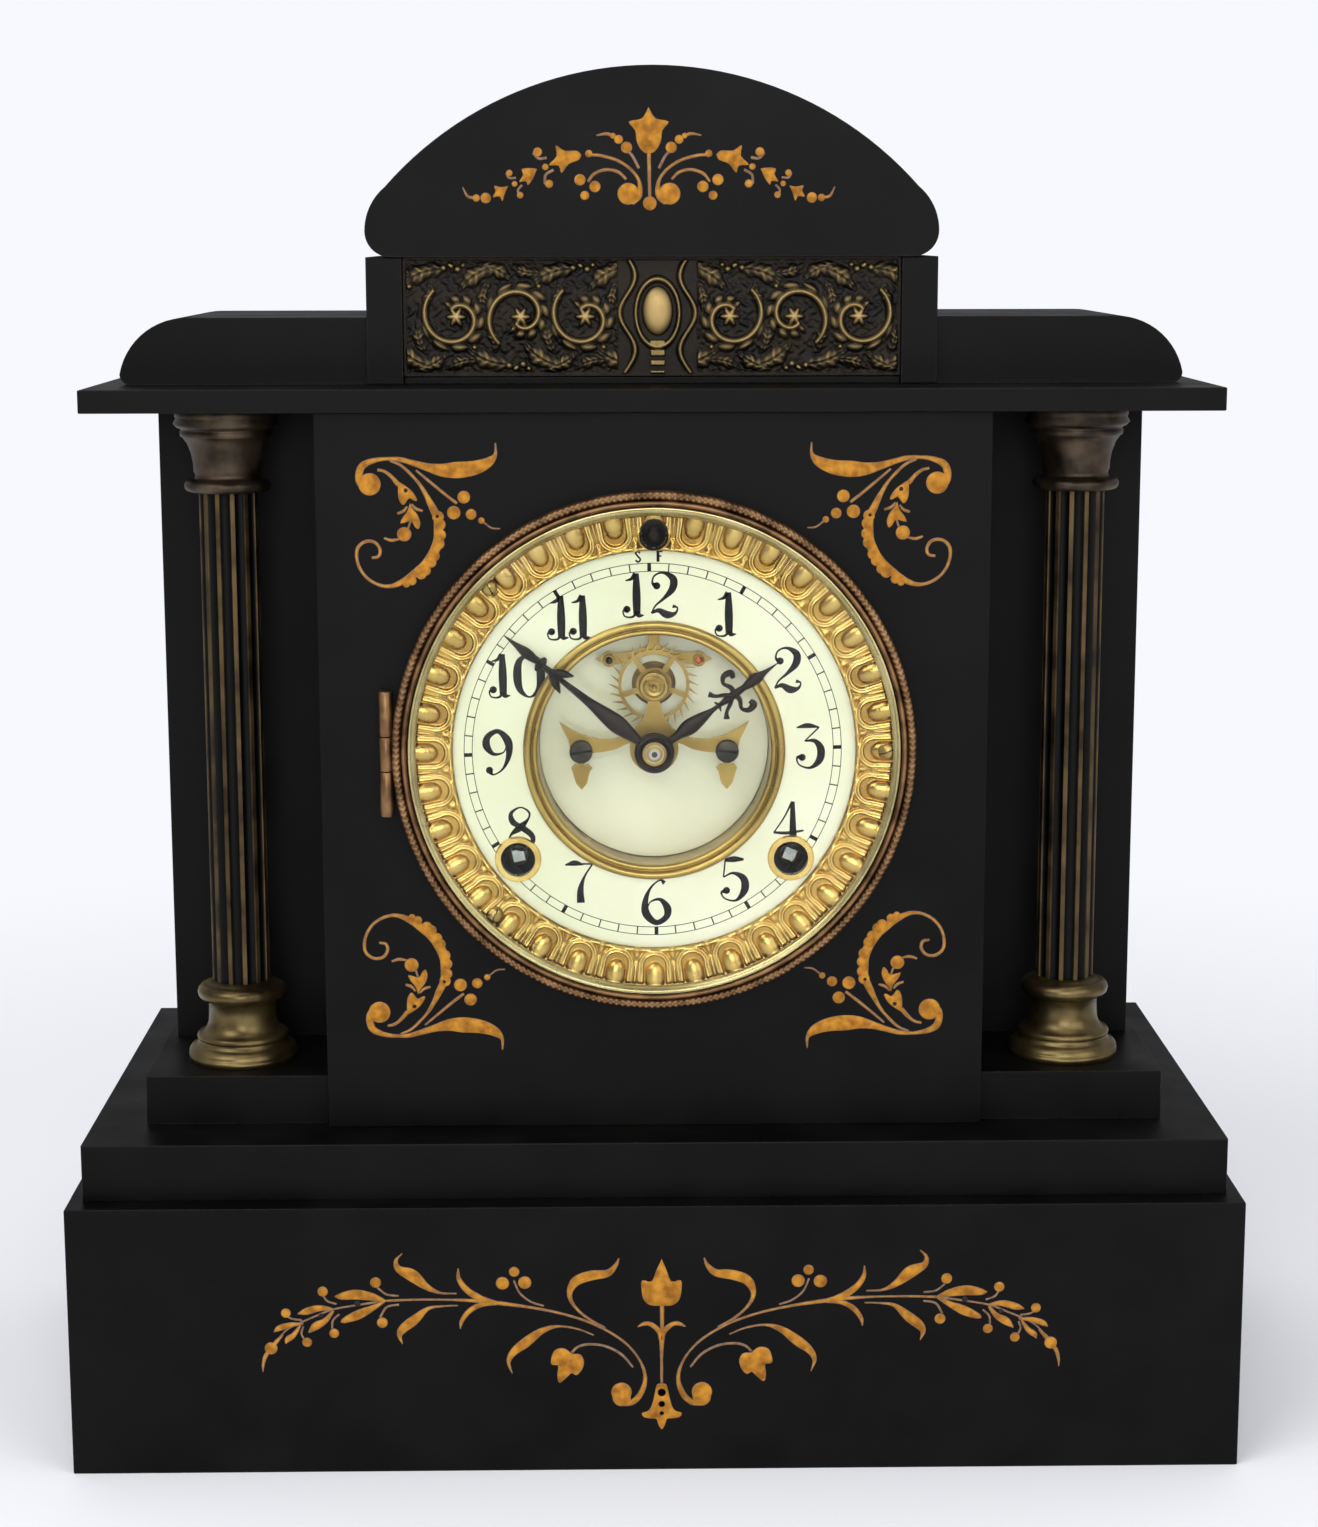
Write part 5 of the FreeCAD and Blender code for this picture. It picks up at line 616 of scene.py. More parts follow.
def makeBezelRim():
    # profiles (radius, depth) turned round Y; with n strands and the lean of the strand, the
    # outer roll is moved by -0.6 ropeDepth min(cos(n angle + lean) + cos(n angle - lean), 0.6)
    middle, front, size = bezel["roll"]
    beadRadius, beadFront, beadWide, beadHigh = bezel["bead"]
    turn = np.linspace(0, math.pi, 13)
    roll = [(middle + size * math.cos(a), front - size * math.sin(a)) for a in turn]
    bead = [(beadRadius + beadWide * math.cos(a), beadFront - beadHigh * math.sin(a))
            for a in turn[::2]]
    rim = [(71.2, -0.2), (74.3, -0.2), (74.35, -3.2)] + roll + [(71.9, -3.6), (71.2, -3.6)]
    collar = [(70.2, -0.3), (71.7, -0.3), (71.7, -3.9)] + bead + [(70.2, -3.9)]
    slope = [(69.0, -0.3), (69.85, -0.3), (69.85, -4.2), (69.7, -4.5), (69.2, -4.4),
             (67.4, -3.3), (67.3, -2.8), (69.0, -2.6)]

    def rope(angle, radius, along):
        lean = (radius - middle) * bezel["slant"]
        wave = sum(np.cos(bezel["strands"] * angle + way * lean) for way in (1, -1))
        onRoll = (np.abs(radius - middle) < size - 0.01) & (along < front)
        return radius, along - onRoll * bezel["ropeDepth"] * np.minimum(wave, 0.6) * 0.6

    dialPiece("bezel_rim_rope", rim, 1800, panelFront, "bezel_brass", "bezel", ["bezel_rim"],
              True, rope)
    dialPiece("bezel_collar", collar, 360, panelFront, "bezel_brass", "bezel", closed=True)
    dialPiece("bezel_inner_slope", slope, 360, panelFront, "pale_gold", "bezel", closed=True)


def makeHinge():
    # a knuckle on the bezel between two on the case, which have a leaf back to the panel
    axisX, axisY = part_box("bezel_rim")[0].x + bezel["hinge"][0], bezel["hinge"][1]
    low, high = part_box("bezel_hinge")
    wide, moving, fixed = bezel["knuckle"], bezel["moving"], bezel["fixed"]
    for name, body, first, last, node in (
            ("bezel_knuckle", "bezel", dialHeight - moving, dialHeight + moving, ()),
            ("hinge_knuckle_low", "case", low.z, dialHeight - fixed, ("bezel_hinge",)),
            ("hinge_knuckle_high", "case", dialHeight + fixed, high.z, ("bezel_hinge",))):
        tall = (last - first) / mm
        knuckle = [(0, 0), (wide - 0.15, 0), (wide, 0.2), (wide, tall - 0.2),
                   (wide - 0.15, tall), (0, tall)]
        turnedPiece(name, knuckle, 32, "Z", (axisX, axisY, first), "bezel_brass", body, node)
        if body == "case":
            web = bar(axisX / mm, first / mm + 0.4, axisX / mm, last / mm - 0.4,
                      bezel["leafWidth"], 1.0)
            points, faces = onFace([web], axisY)
            points[:, 1] = np.where(points[:, 1] < axisY - 0.0001, axisY, panelFront)
            outward(meshPiece(name + "_leaf", points, faces, "bezel_brass", body,
                              smooth=False))


# ---- gilt ring between glass and porcelain: eggs and darts, in mm from the dial's axis
eggs = {"count": 36, "radius": 62.8, "long": 4.0, "wide": 2.8, "middle": 65.5,
        "inner": 57.3, "outer": 69.6, "slope": 0.25, "keyRadius": 61.6, "keyHole": 3.6,
        "keyCollar": 4.3, "screws": ((90.0, 65.8), (224.2, 65.5), (315.5, 65.5)),
        "screwFront": -0.6, "slotFront": -2.5, "slot": (2.0, 0.5, 0.4),
        # share, middle and width of the two arches; middle and width of the others
        "ridges": ((1.0, 3.7, 0.3), (0.8, 4.5, 0.28)), "dart": (0, 0.5), "leaf": (0, 0.8),
        "bead": (58.0, 0.45), "rim": (68.1, 0.6),
        # how far each part stands up, and how strong its painted highlight is
        "weights": {"ridge": (1.1, 1.0), "egg": (1.5, 0.42), "dart": (0.8, 0.5),
                    "leaf": (0.7, 0.6), "bead": (0.6, 0.9), "rim": (0.5, 0.5)}}


def bell(value, middle, width):
    # exp(-((value - middle) / width)^2)
    return np.exp(-((value - middle) / width) ** 2)


def dome(square):
    # sqrt(1 - square), and 0 outside the unit circle
    return np.sqrt(np.clip(1 - square, 0, 1))


def onDial(radius, degrees):
    # (x, z) at a radius and an angle clockwise from twelve
    turn = math.radians(degrees)
    return radius * math.sin(turn), radius * math.cos(turn)


def paintRaised(piece, values):
    # a mask per point for the painted highlight: the height on the relief, the painted brightness
    # of each part on the gilt ring
    layer = piece.data.attributes.new("painted_highlight", "FLOAT", "POINT")
    layer.data.foreach_set("value", values.reshape(-1).astype(np.float32))


def makeGiltRing():
    # a flat profile turned round Y, whose depth is 0.2 - 1.15 pattern(angle, radius)
    radii = np.linspace(eggs["inner"], eggs["outer"], 54)
    profile = [(eggs["outer"], 0.4)] + [(r, 0.0) for r in radii[::-1]] + [(eggs["inner"], 0.6)]

    def pattern(angle, radius):
        # height and painted highlight are sums of the parts by their weights: arches that open
        # outward (ridge), a half ellipsoid in each (egg), darts between them with a leaf
        # below, and round them a bead and a rim; places with little highlight stay darker as
        # painted shade
        step = 2 * math.pi / eggs["count"]
        near = (angle + step / 2) % step - step / 2
        side = near * radius
        away = ((near % step) - step / 2) * radius
        husk = np.hypot(side, np.minimum(radius - eggs["radius"], 0))
        reach = np.clip((67.6 - radius) / 0.8, 0, 1)
        parts = {
            "ridge": reach * sum(s * bell(husk, *line) for s, *line in eggs["ridges"]),
            "egg": dome((side / eggs["wide"]) ** 2
                        + ((radius - eggs["middle"]) / eggs["long"]) ** 2),
            "dart": bell(away, *eggs["dart"]) * np.clip((radius - 61) / 3, 0, 1) * reach,
            "leaf": bell(away, *eggs["leaf"]) * np.clip((61.3 - radius) / 1.5, 0, 1),
            "bead": bell(radius, *eggs["bead"]), "rim": bell(radius, *eggs["rim"])}
        height, highlight = (sum(weight[k] * parts[name] for name, weight in
                              eggs["weights"].items()) for k in (0, 1))
        height += eggs["slope"] * (1 + (radius - eggs["inner"]) / 12)
        # a flat collar and a deep hole for the regulator's key, at twelve
        first = np.minimum(angle, 2 * math.pi - angle) * eggs["radius"]
        key = np.hypot(first, radius - eggs["keyRadius"])
        height = np.where(key < eggs["keyCollar"], 1.2, height)
        height = np.where(key < eggs["keyHole"], -2.0, height)
        return height, highlight

    def carve(angle, radius, along):
        return radius, np.where(along == 0.0, 0.2 - 1.15 * pattern(angle, radius)[0], along)

    ring = dialPiece("egg_and_dart_ring", profile, 1440, panelFront, "gilt_brass",
                     replaces=["gilt_dial_ring"], shape=carve)
    # the painted highlight mask of each point, from the same pattern
    spots = np.empty(len(ring.data.vertices) * 3)
    ring.data.vertices.foreach_get("co", spots)
    x, _, z = spots.reshape(-1, 3).T / mm
    z = z - dialHeight / mm
    paintRaised(ring, pattern(np.arctan2(x, z) % (2 * math.pi), np.hypot(x, z))[1])

    # painted shade: a black cup lines the regulator's key hole, with the arbor's nose inside it
    keyHeight = dialHeight + eggs["keyRadius"] * mm
    hole_shade = [(4.2, -1.0), (4.1, -1.5), (3.8, -1.7), (3.6, -1.4), (3.5, 1.2), (0, 1.2)]
    turnedPiece("regulator_hole_shade", hole_shade, 48, "Y", (0, panelFront, keyHeight), "black_print",
                "case")
    nose = [(1.9, 1.5), (1.9, 0.2), (1.7, -0.1), (1.1, -0.35), (0, -0.45)]
    turnedPiece("regulator_nose", nose, 32, "Y", (0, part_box("regulator_arbor")[0].y, keyHeight),
                "blued_steel", "regulator_arbor")
    head = [(2.3, 0), (2.3, -1.1), (2.0, -1.7), (1.2, -2.1), (0, -2.2)]
    for number, (angle, radius) in enumerate(eggs["screws"]):
        across, up = onDial(radius, angle)
        up += dialHeight / mm
        turnedPiece(f"ring_screw_{number}", head, 20, "Y",
                    (across * mm, panelFront + eggs["screwFront"] * mm, up * mm), "old_gold",
                    "case")
        # painted shade: a black bar across the head stands for the shade in its slot
        lean = math.radians(20 + 50 * number)
        half, wide, high = eggs["slot"]
        dx, dz = half * math.cos(lean), half * math.sin(lean)
        slot = bar(across - dx, up - dz, across + dx, up + dz, wide, high)
        facePiece(f"ring_screw_slot_shade_{number}", [slot], panelFront + eggs["slotFront"] * mm,
                  "black_print")


# ---- dial printing: each figure's strokes as rows (x, z, width) on a 10 high, 7 wide field
dial = {"track": (51.4, 53.7), "line": 0.1, "ink": 0.05, "bars": (1.1, 0.36), "turn": -1.0,
        "across": -0.4, "numeralRadius": 44.3, "numeralHeight": 12.7, "numeralLift": 0.4,
        "letters": {"S": -3.1, "F": 3.1}, "letterUp": 55.6, "letterHeight": 3.2,
        "letterBold": 1.9}
# the round ends of the strokes
figureEnds = {"1": [(1.4, 1.9)], "2": [(2.1, 7.0)], "3": [(2.1, 2.5)], "5": [(2.1, 2.5)],
              "9": [(1.7, 1.1)]}
figures = {
    "1": [[(1.2, 8.3, 0.25), (2.5, 8.7, 0.7), (3.3, 9.9, 0.9)],
          [(3.5, 9.9, 1.1), (3.5, 5.2, 1.7), (3.5, 0.9, 1.5)],
          [(3.6, 1.4, 1), (3.9, 0.5, 1), (5, 0.5, 0.2)],
          [(3.5, 1.4, 0.8), (2.6, 0.2, 0.5), (1, 0.3, 0.35), (0.6, 1.5, 0.4), (1.5, 1.9, 0.9)]],
    "2": [[(2, 7, 1.3), (1.2, 7.7, 0.5), (1.7, 9.3, 0.4), (3.6, 9.9, 0.6), (5.6, 8.5, 1.5),
           (5.4, 6.3, 1.5), (3.6, 4.2, 0.7), (1.8, 2.6, 0.4), (0.9, 0.9, 0.4)],
          [(0.9, 0.9, 0.4), (2.4, 1.5, 1), (4.2, 0.5, 1.6), (5.9, 0.8, 0.7), (6.4, 2, 0.35),
           (5.4, 2.4, 0.8)]],
    "3": [[(1, 9.3, 0.3), (3.3, 9.7, 1.1), (5.8, 9.3, 0.3)],
          [(5.8, 9.3, 0.35), (2.7, 6.2, 0.3)],
          [(2.7, 6.2, 0.3), (4.8, 6.2, 0.9), (6.1, 4.4, 1.6), (5.8, 1.8, 1.5), (3.8, 0.1, 0.6),
           (1.5, 0.8, 0.35), (1, 2.4, 0.5), (2.1, 2.6, 1.2)]],
    "4": [[(4.3, 9.9, 0.5), (2.6, 6.4, 0.35), (0.4, 3, 0.3)],
          [(0.2, 2.9, 0.5), (3.2, 2.7, 0.7), (6.7, 3.2, 0.4)],
          [(4.4, 9.9, 0.9), (4.4, 0.5, 1.7)],
          [(3, 0.25, 0.4), (4.4, 0.4, 0.7), (5.8, 0.25, 0.4)]],
    "5": [[(1.8, 9.5, 0.7), (3.8, 9.7, 1.3), (5.9, 9.6, 0.5)],
          [(1.9, 9.4, 0.35), (1.5, 5.6, 0.35)],
          [(1.5, 5.6, 0.3), (3.6, 6.5, 0.6), (5.8, 5.2, 1.5), (6, 2.6, 1.6), (4.2, 0.2, 0.6),
           (1.8, 0.6, 0.35), (1, 2, 0.5), (2.1, 2.5, 1.2)]],
    "6": [[(5.4, 9.2, 1), (4.4, 9.9, 0.4), (2.4, 8.2, 0.5), (1.2, 5.2, 1.2), (1.3, 2.2, 1.7),
           (3.4, 0.1, 1.2), (5.6, 1.3, 1.3), (5.9, 3.4, 1.6), (4.4, 5.4, 0.8), (2.4, 5, 0.35),
           (1.6, 3.6, 0.3)]],
    "7": [[(0.7, 9.2, 0.3), (2.8, 9.6, 1.2), (4.6, 9.2, 0.3)],
          [(4.4, 9.4, 0.4), (6.6, 9.3, 0.4)],
          [(6.6, 9.3, 0.35), (4.8, 6.4, 0.5), (3.9, 3.4, 1.3), (3.9, 0.4, 1.7)]],
    "8": [[(3.6, 5.5, 0.9), (1.9, 6.6, 1.3), (1.6, 8.6, 0.8), (3.6, 9.9, 0.35), (5.4, 8.8, 0.5),
           (5.2, 7.2, 0.5), (3.3, 5.2, 1.5), (1.4, 3.6, 0.5), (1.2, 1.6, 0.5), (3.4, 0.1, 0.5),
           (5.8, 1.4, 0.8), (5.9, 3.4, 1.2), (3.6, 5.5, 1.4)]],
    "9": [[(1.6, 1, 1.2), (2.6, 0.1, 0.4), (4.6, 1.4, 0.5), (5.9, 4.4, 1.2), (5.8, 7.6, 1.7),
           (3.8, 9.9, 1), (1.6, 8.8, 1.3), (1.2, 6.7, 1.6), (2.6, 4.8, 0.8), (4.6, 5, 0.35),
           (5.4, 6.2, 0.3)]],
    "0": [[(3.4, 9.9, 0.4), (1.4, 8.2, 1.3), (0.9, 5, 1.8), (1.4, 1.8, 1.3), (3.4, 0.1, 0.4),
           (5.4, 1.8, 1.3), (5.9, 5, 1.8), (5.4, 8.2, 1.3), (3.4, 9.9, 0.4)]],
    "S": [[(5, 8, 0.9), (3.6, 9.7, 0.9), (1.6, 8.2, 0.9), (3.4, 5.2, 0.9), (5.4, 2.4, 0.9),
           (3.4, 0.3, 0.9), (1.3, 2, 0.9)]],
    "F": [[(1.8, 0.2, 1.4), (1.8, 9.8, 1.4)],
          [(1.8, 9.4, 0.9), (5.6, 9.4, 1.1)],
          [(1.8, 5.2, 0.8), (4.6, 5.2, 0.8)]],
}


def figureParts(text, across, up, height, narrow=1.05, bold=1.08):
    # strokes of one or two figures side by side, upright, centred on the place
    scale = height / 10
    advance = 4.6 if text == "11" else 5.7
    width = (advance + 6.9 if len(text) == 2 else 6.9) * narrow
    parts = []
    for place, letter in enumerate(text):
        for line in figures[letter]:
            rows = np.array(line, float)
            rows[:, 0] = (rows[:, 0] + place * advance) * narrow - width / 2
            rows = rows * (scale, scale, scale * bold) + (across, up - height / 2, 0)
            parts.append(ribbon(rows, dial["ink"], 8))
        for along, high in figureEnds.get(letter, ()):
            spot = ((along + place * advance) * narrow - width / 2) * scale + across
            parts.append(discPlate(spot, high * scale + up - height / 2,
                                   0.075 * height * bold, dial["ink"], 0.01, 20))
    return parts


def makePrinting():
    # two circles with the minute bars between them, twelve numerals and two small letters
    inner, outer = dial["track"]
    parts = [flatRing(radius - dial["line"], radius + dial["line"], dial["ink"])
             for radius in (outer, inner)]
    for minute in range(60):
        ends = (*onDial(inner, minute * 6), *onDial(outer, minute * 6))
        parts.append(bar(*ends, dial["bars"][minute % 5 > 0], dial["ink"]))
    for hour in range(1, 13):
        across, up = onDial(dial["numeralRadius"], hour * 30)
        parts += figureParts(str(hour), across, up + dial["numeralLift"],
                             dial["numeralHeight"])
    for letter, across in dial["letters"].items():
        parts += figureParts(letter, across, dial["letterUp"], dial["letterHeight"],
                             bold=dial["letterBold"])
    tilt = math.radians(dial["turn"])
    placed = [(clockwise(points, tilt) + (dial["across"], 0, 0), faces)
              for points, faces in parts]
    facePiece("dial_printing", placed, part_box("chapter_ring")[0].y + hair, "black_print")


makeBezelRim()
makeHinge()
makeGiltRing()
makePrinting()
print("stage: dial done")


# ---- hands, pierced and shaped, lying on their CAD places: rows (x, z, width) from the eye up
hands = {
    "minute": {"angle": -51.3, "eye": 4.6, "bore": 1.65, "body": "minute_work", "lines": [
        [(0, 3.6, 1.6), (0, 8, 3.4), (0, 13, 5.2), (0, 17, 4.6), (0, 24, 2.6), (0, 33.5, 1.5)],
        [(0, 33, 1.4), (0, 36, 2.2), (0, 40, 1.6), (0, 42, 1.8), (0, 46, 3), (0, 50, 1.5),
         (0, 54.3, 0.2)],
        [(0, 38.6, 0.8), (0, 36.6, 3), (0, 33.9, 3.4)],
        [(0.7, 36.4, 2.2), (1.9, 34, 2.3), (3.1, 31.6, 0.4)],
        [(0, 41, 2.8), (1.3, 41, 2.2), (2.3, 41.1, 0.9)]]},
    "hour": {"angle": 53.9, "eye": 5.7, "bore": 3.25, "body": "hour_work", "lines": [
        [(0, 4.8, 2.4), (0, 8, 2.6), (0, 12, 4.6), (0, 16, 3.6), (0, 20.5, 1.5), (0, 24, 1.3)],
        [(0, 22.8, 1.2), (1.6, 22.2, 0.4)],
        [(0, 23, 1.3), (0, 27, 2.4), (0, 31.5, 1.8)],
        [(0, 27.4, 1.4), (1.5, 25.6, 1.3), (2.8, 23.4, 1.1), (4.4, 22.2, 1.8)],
        [(0, 28.2, 1.9), (2.2, 28.4, 1.4), (4.4, 27.4, 1.1), (6, 28.7, 1.6), (5.6, 30.8, 2),
         (4, 30.6, 1.4)],
        [(0, 30.5, 1.2), (0, 33, 2.6), (0, 36, 3.2), (0, 39, 1.4), (0, 43.2, 0.25)]]},
}


def makeHand(name, values):
    # ribbons of both sides joined at the eye, turned clockwise to the hand's hour
    low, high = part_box(name + "_hand")
    thick = (high.y - low.y) / mm
    parts = [flatRing(values["bore"], values["eye"], thick, 64)]
    for line in values["lines"]:
        for side in (1, -1) if any(row[0] for row in line) else (1,):
            parts.append(ribbon(np.array(line) * (side, 1, 1), thick, 8))
    turn = math.radians(values["angle"])
    placed = [(clockwise(points, turn), faces) for points, faces in parts]
    facePiece(name + "_hand_pierced", placed, high.y, "blued_steel", values["body"],
              [name + "_hand"])


def makeHub():
    # raised rim, turned washer and pin end on the centre
    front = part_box("centre_arbor")[0].y + 0.0002
    rim = [(5.5, 2.0), (5.5, 0.5), (5.1, 0.1), (4.6, 0.2), (4.1, 0.9), (3.5, 1.1), (3.5, 2.0)]
    washer = [(3.5, 1.6), (3.5, 0.4), (3.2, 0.1), (2.9, 0.3), (2.5, 0.6), (2.1, 0.3),
              (1.7, 0.2), (1.2, 0.3), (1.0, 0.7), (1.0, 1.6)]
    pin = [(1.0, 1.0), (1.0, -0.05), (0.7, -0.3), (0, -0.35)]
    for name, profile, sides, finish in (("hub_rim", rim, 72, "blued_steel"),
                                         ("hub_washer", washer, 72, "movement_brass"),
                                         ("hub_pin", pin, 32, "dark_steel")):
        dialPiece(name, profile, sides, front, finish, "minute_work")


# ---- rolled ring of the sunk centre: each roll's radius, depth behind the front, size, in mm
sunkRing = {"rolls": ((36.2, 1.15, 1.15), (34.1, 1.5, 0.8)), "rim": (37.35, 2.2),
            "lip": (33.2, 2.4), "wall": (33.0, 34.2)}


def makeSunkRing():
    # profile turned round Y: outer roll, groove, inner roll, then the wall falls to the back
    low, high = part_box("recess_ring")
    front, back = (low.y - panelFront) / mm, (high.y - panelFront) / mm
    turn = np.radians(np.linspace(0, 180, 9))
    profile = [(sunkRing["rim"][0], front + sunkRing["rim"][1])]
    for middle, deep, size in sunkRing["rolls"]:
        profile += [(middle + size * math.cos(a), front + deep - size * math.sin(a))
                    for a in turn]
    profile += [(sunkRing["lip"][0], front + sunkRing["lip"][1])]
    profile += [(radius, back) for radius in sunkRing["wall"]]
    dialPiece("sunk_ring", profile, 240, panelFront, "rolled_gold", replaces=["recess_ring"],
              closed=True)


for name, values in hands.items():
    makeHand(name, values)
makeHub()
makeSunkRing()
print("stage: hands done")


# ---- frieze relief: running acanthus scrolls either side of a plain oval boss, in mm
relief = {
    "left": -70.9, "right": 70.9, "low": 311.2, "high": 344.7, "depth": 3.2, "grid": (560, 150),
    "middle": 1.5, "pitch": 18.4, "firstSpiral": 20.6, "firstSpray": 12.2, "bossUp": 329.6,
    "strapUp": 329.0, "field": 11.5, "frame": 0.8, "ground": 0.25, "rise": 0.62,
    # spirals: first radius, growth, lead, reach and fade; middle field: half sizes and bells
    "coil": (2.2, 1.25, 0.9), "reach": (11.5, 2), "boss": (4.3, 6.9), "strap": (6.2, 9.6, 0.09),
    "flank": (8.6, 0.8, 2.2, 0.3), "ladder": (2.1, 321.5, 2.2),
    # share of the full height, place along and up, angle, length, width, curve
    "leaves": [(1.0, 2.2, -11.4, 0.55, 7.4, 3.3, 0.5), (0.95, -3.0, -12.8, 2.7, 6.0, 2.6, -0.5),
               (0.95, -0.8, 11.8, -0.35, 7.6, 3.2, -0.55), (0.85, 6.8, 13.0, 0.25, 5.4, 2.3, 0.5),
               (0.85, 0.2, -6.0, 1.35, 5.2, 2.2, 0.6), (0.8, -1.8, 6.2, -1.2, 4.6, 2.0, 0.6)],
    # place along and up, radius
    "berries": [(7.8, -13.4, 1.0), (9.6, -14.3, 0.8), (6.2, -14.6, 0.75), (-6.6, 13.8, 0.95),
                (-8.4, 14.6, 0.7), (3.2, 8.6, 0.8)],
}


def leafHeight(x, z, angle, long, wide, curve):
    # lobed leaf: u runs along it, v across it and bends with u squared; a vein is cut down
    # the middle, and the height is sqrt((1 - u^2) lobes - |v|)
    u = (x * math.cos(angle) + z * math.sin(angle)) / long
    v = (-x * math.sin(angle) + z * math.cos(angle)) / wide - curve * u * u + curve * 0.4
    edge = (1 - u * u) * (0.86 + 0.14 * np.cos(8 * u - 3 * np.abs(v)))
    body = np.sqrt(np.clip(edge - np.abs(v), 0, 1))
    return body * (1 - 0.4 * bell(v, 0, 0.1)) * (0.86 + 0.14 * np.cos(20 * u - 5 * np.abs(v)))


def reliefHeight(x, z):
    # the highest of the parts at (x, z): each is a bell or dome of the distance from its line
    middle = (relief["low"] + relief["high"]) / 2
    aside = x - relief["middle"]
    (first, growth, lead), (reach, fade) = relief["coil"], relief["reach"]
    height = 0.1 + 0.09 * (np.sin(x * 1.7 + 2 * np.sin(z * 1.1))
                           + np.sin(z * 2.1 + 2 * np.cos(x * 0.9)) * np.sin(x * 0.8 - z * 1.3))
    for side in (-1, 1):
        for number in range(3):
            # a stem along r = first + growth angle, lobes outside it, a bloom at its middle
            dx = side * aside - relief["firstSpiral"] - number * relief["pitch"]
            dz = (z - middle) * (-1 if number % 2 else 1)
            r, a = np.hypot(dx, dz) + 1e-6, np.arctan2(dz, dx)
            away = r - (first + growth * ((a - lead) % (2 * math.pi)))
            leaf = 0.75 * bell(away, 1.9, 1.5) * np.abs(np.cos(4.5 * a + 0.5 * r)) ** 0.6
            stem = np.clip((reach - r) / fade, 0, 1) * np.maximum(bell(away, 0, 1), leaf)
            bloom = 1.15 * dome((r / (2.4 + 0.7 * np.cos(6 * a))) ** 2)
            height = np.maximum(height, np.maximum(stem, bloom))
        for number in range(4):
            # a spray of leaves and berries between the spirals, upright and upside down
            dx = side * aside - relief["firstSpray"] - number * relief["pitch"]
            dz = (z - middle) * (1 if number % 2 else -1)
            for share, along, up, *leaf in relief["leaves"]:
                height = np.maximum(height, share * leafHeight(dx - along, dz - up, *leaf))
            for along, up, size in relief["berries"]:
                away = np.hypot(dx - along, dz - up) / size
                height = np.maximum(height, 1.05 * dome(away ** 2))
    # the middle field: an oval boss in a strap, with flanks at its sides and a ladder below
    wide, tall = relief["boss"]
    boss = dome((aside / wide) ** 2 + ((z - relief["bossUp"]) / tall) ** 2)
    above = z - relief["strapUp"]
    wide, tall, thick = relief["strap"]
    strap = 0.95 * bell(np.hypot(aside / wide, above / tall), 1.0, thick)
    out, thick, swing, turns = relief["flank"]
    flank = 0.9 * bell(np.abs(aside) - out - swing * np.cos(above * turns), 0, thick)
    half, top, rungs = relief["ladder"]
    ladder = (np.abs(aside) < half) * (z < top) * (0.5 + 0.35 * np.sign(np.sin(z * rungs)))
    field = np.maximum(np.maximum(strap, flank), np.maximum(ladder, 0.12))
    height = np.where(np.abs(aside) < relief["field"], field, height)
    height = np.where(boss > 0, 0.35 + boss, height)
    edge = np.minimum(np.minimum(x - relief["left"], relief["right"] - x),
                      np.minimum(z - relief["low"], relief["high"] - z))
    height = np.where(edge < relief["frame"], 0.3, height)
    return height + 0.03 * np.sin(9 * x + 4 * z) * np.sin(7 * z - 5 * x)


def makeRelief():
    # the sheet lies at ground - rise height, a box of the panel's outline is its backing
    low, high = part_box("relief_panel")
    across, up = relief["grid"]
    x, z = np.meshgrid(np.linspace(relief["left"], relief["right"], across),
                       np.linspace(relief["low"], relief["high"], up), indexing="ij")
    height = reliefHeight(x, z)
    ground = low.y + relief["depth"] * mm * relief["ground"]
    y = ground - height * relief["depth"] * mm * relief["rise"]
    points = np.stack([x * mm, y, z * mm], -1).reshape(-1, 3)
    sheet = meshPiece("frieze_relief", points, gridFaces(across, up, False, False)[:, ::-1],
                      "bronzed_metal", "case", ["relief_panel"])
    # the height sets the painted highlight on the relief's raised places
    paintRaised(sheet, height)
    corners = [(relief[side] * mm, relief[end] * mm) for side, end in
               (("left", "low"), ("right", "low"), ("right", "high"), ("left", "high"))]
    points = [(cornerX, depth, cornerZ) for depth in (ground, high.y)
              for cornerX, cornerZ in corners]
    walls = [(k, k + 4, (k + 1) % 4 + 4, (k + 1) % 4) for k in range(4)]
    outward(meshPiece("frieze_backing", points, [(0, 1, 2, 3), (7, 6, 5, 4)] + walls,
                      "bronzed_metal", "case", smooth=False))


makeRelief()
print("stage: relief done")


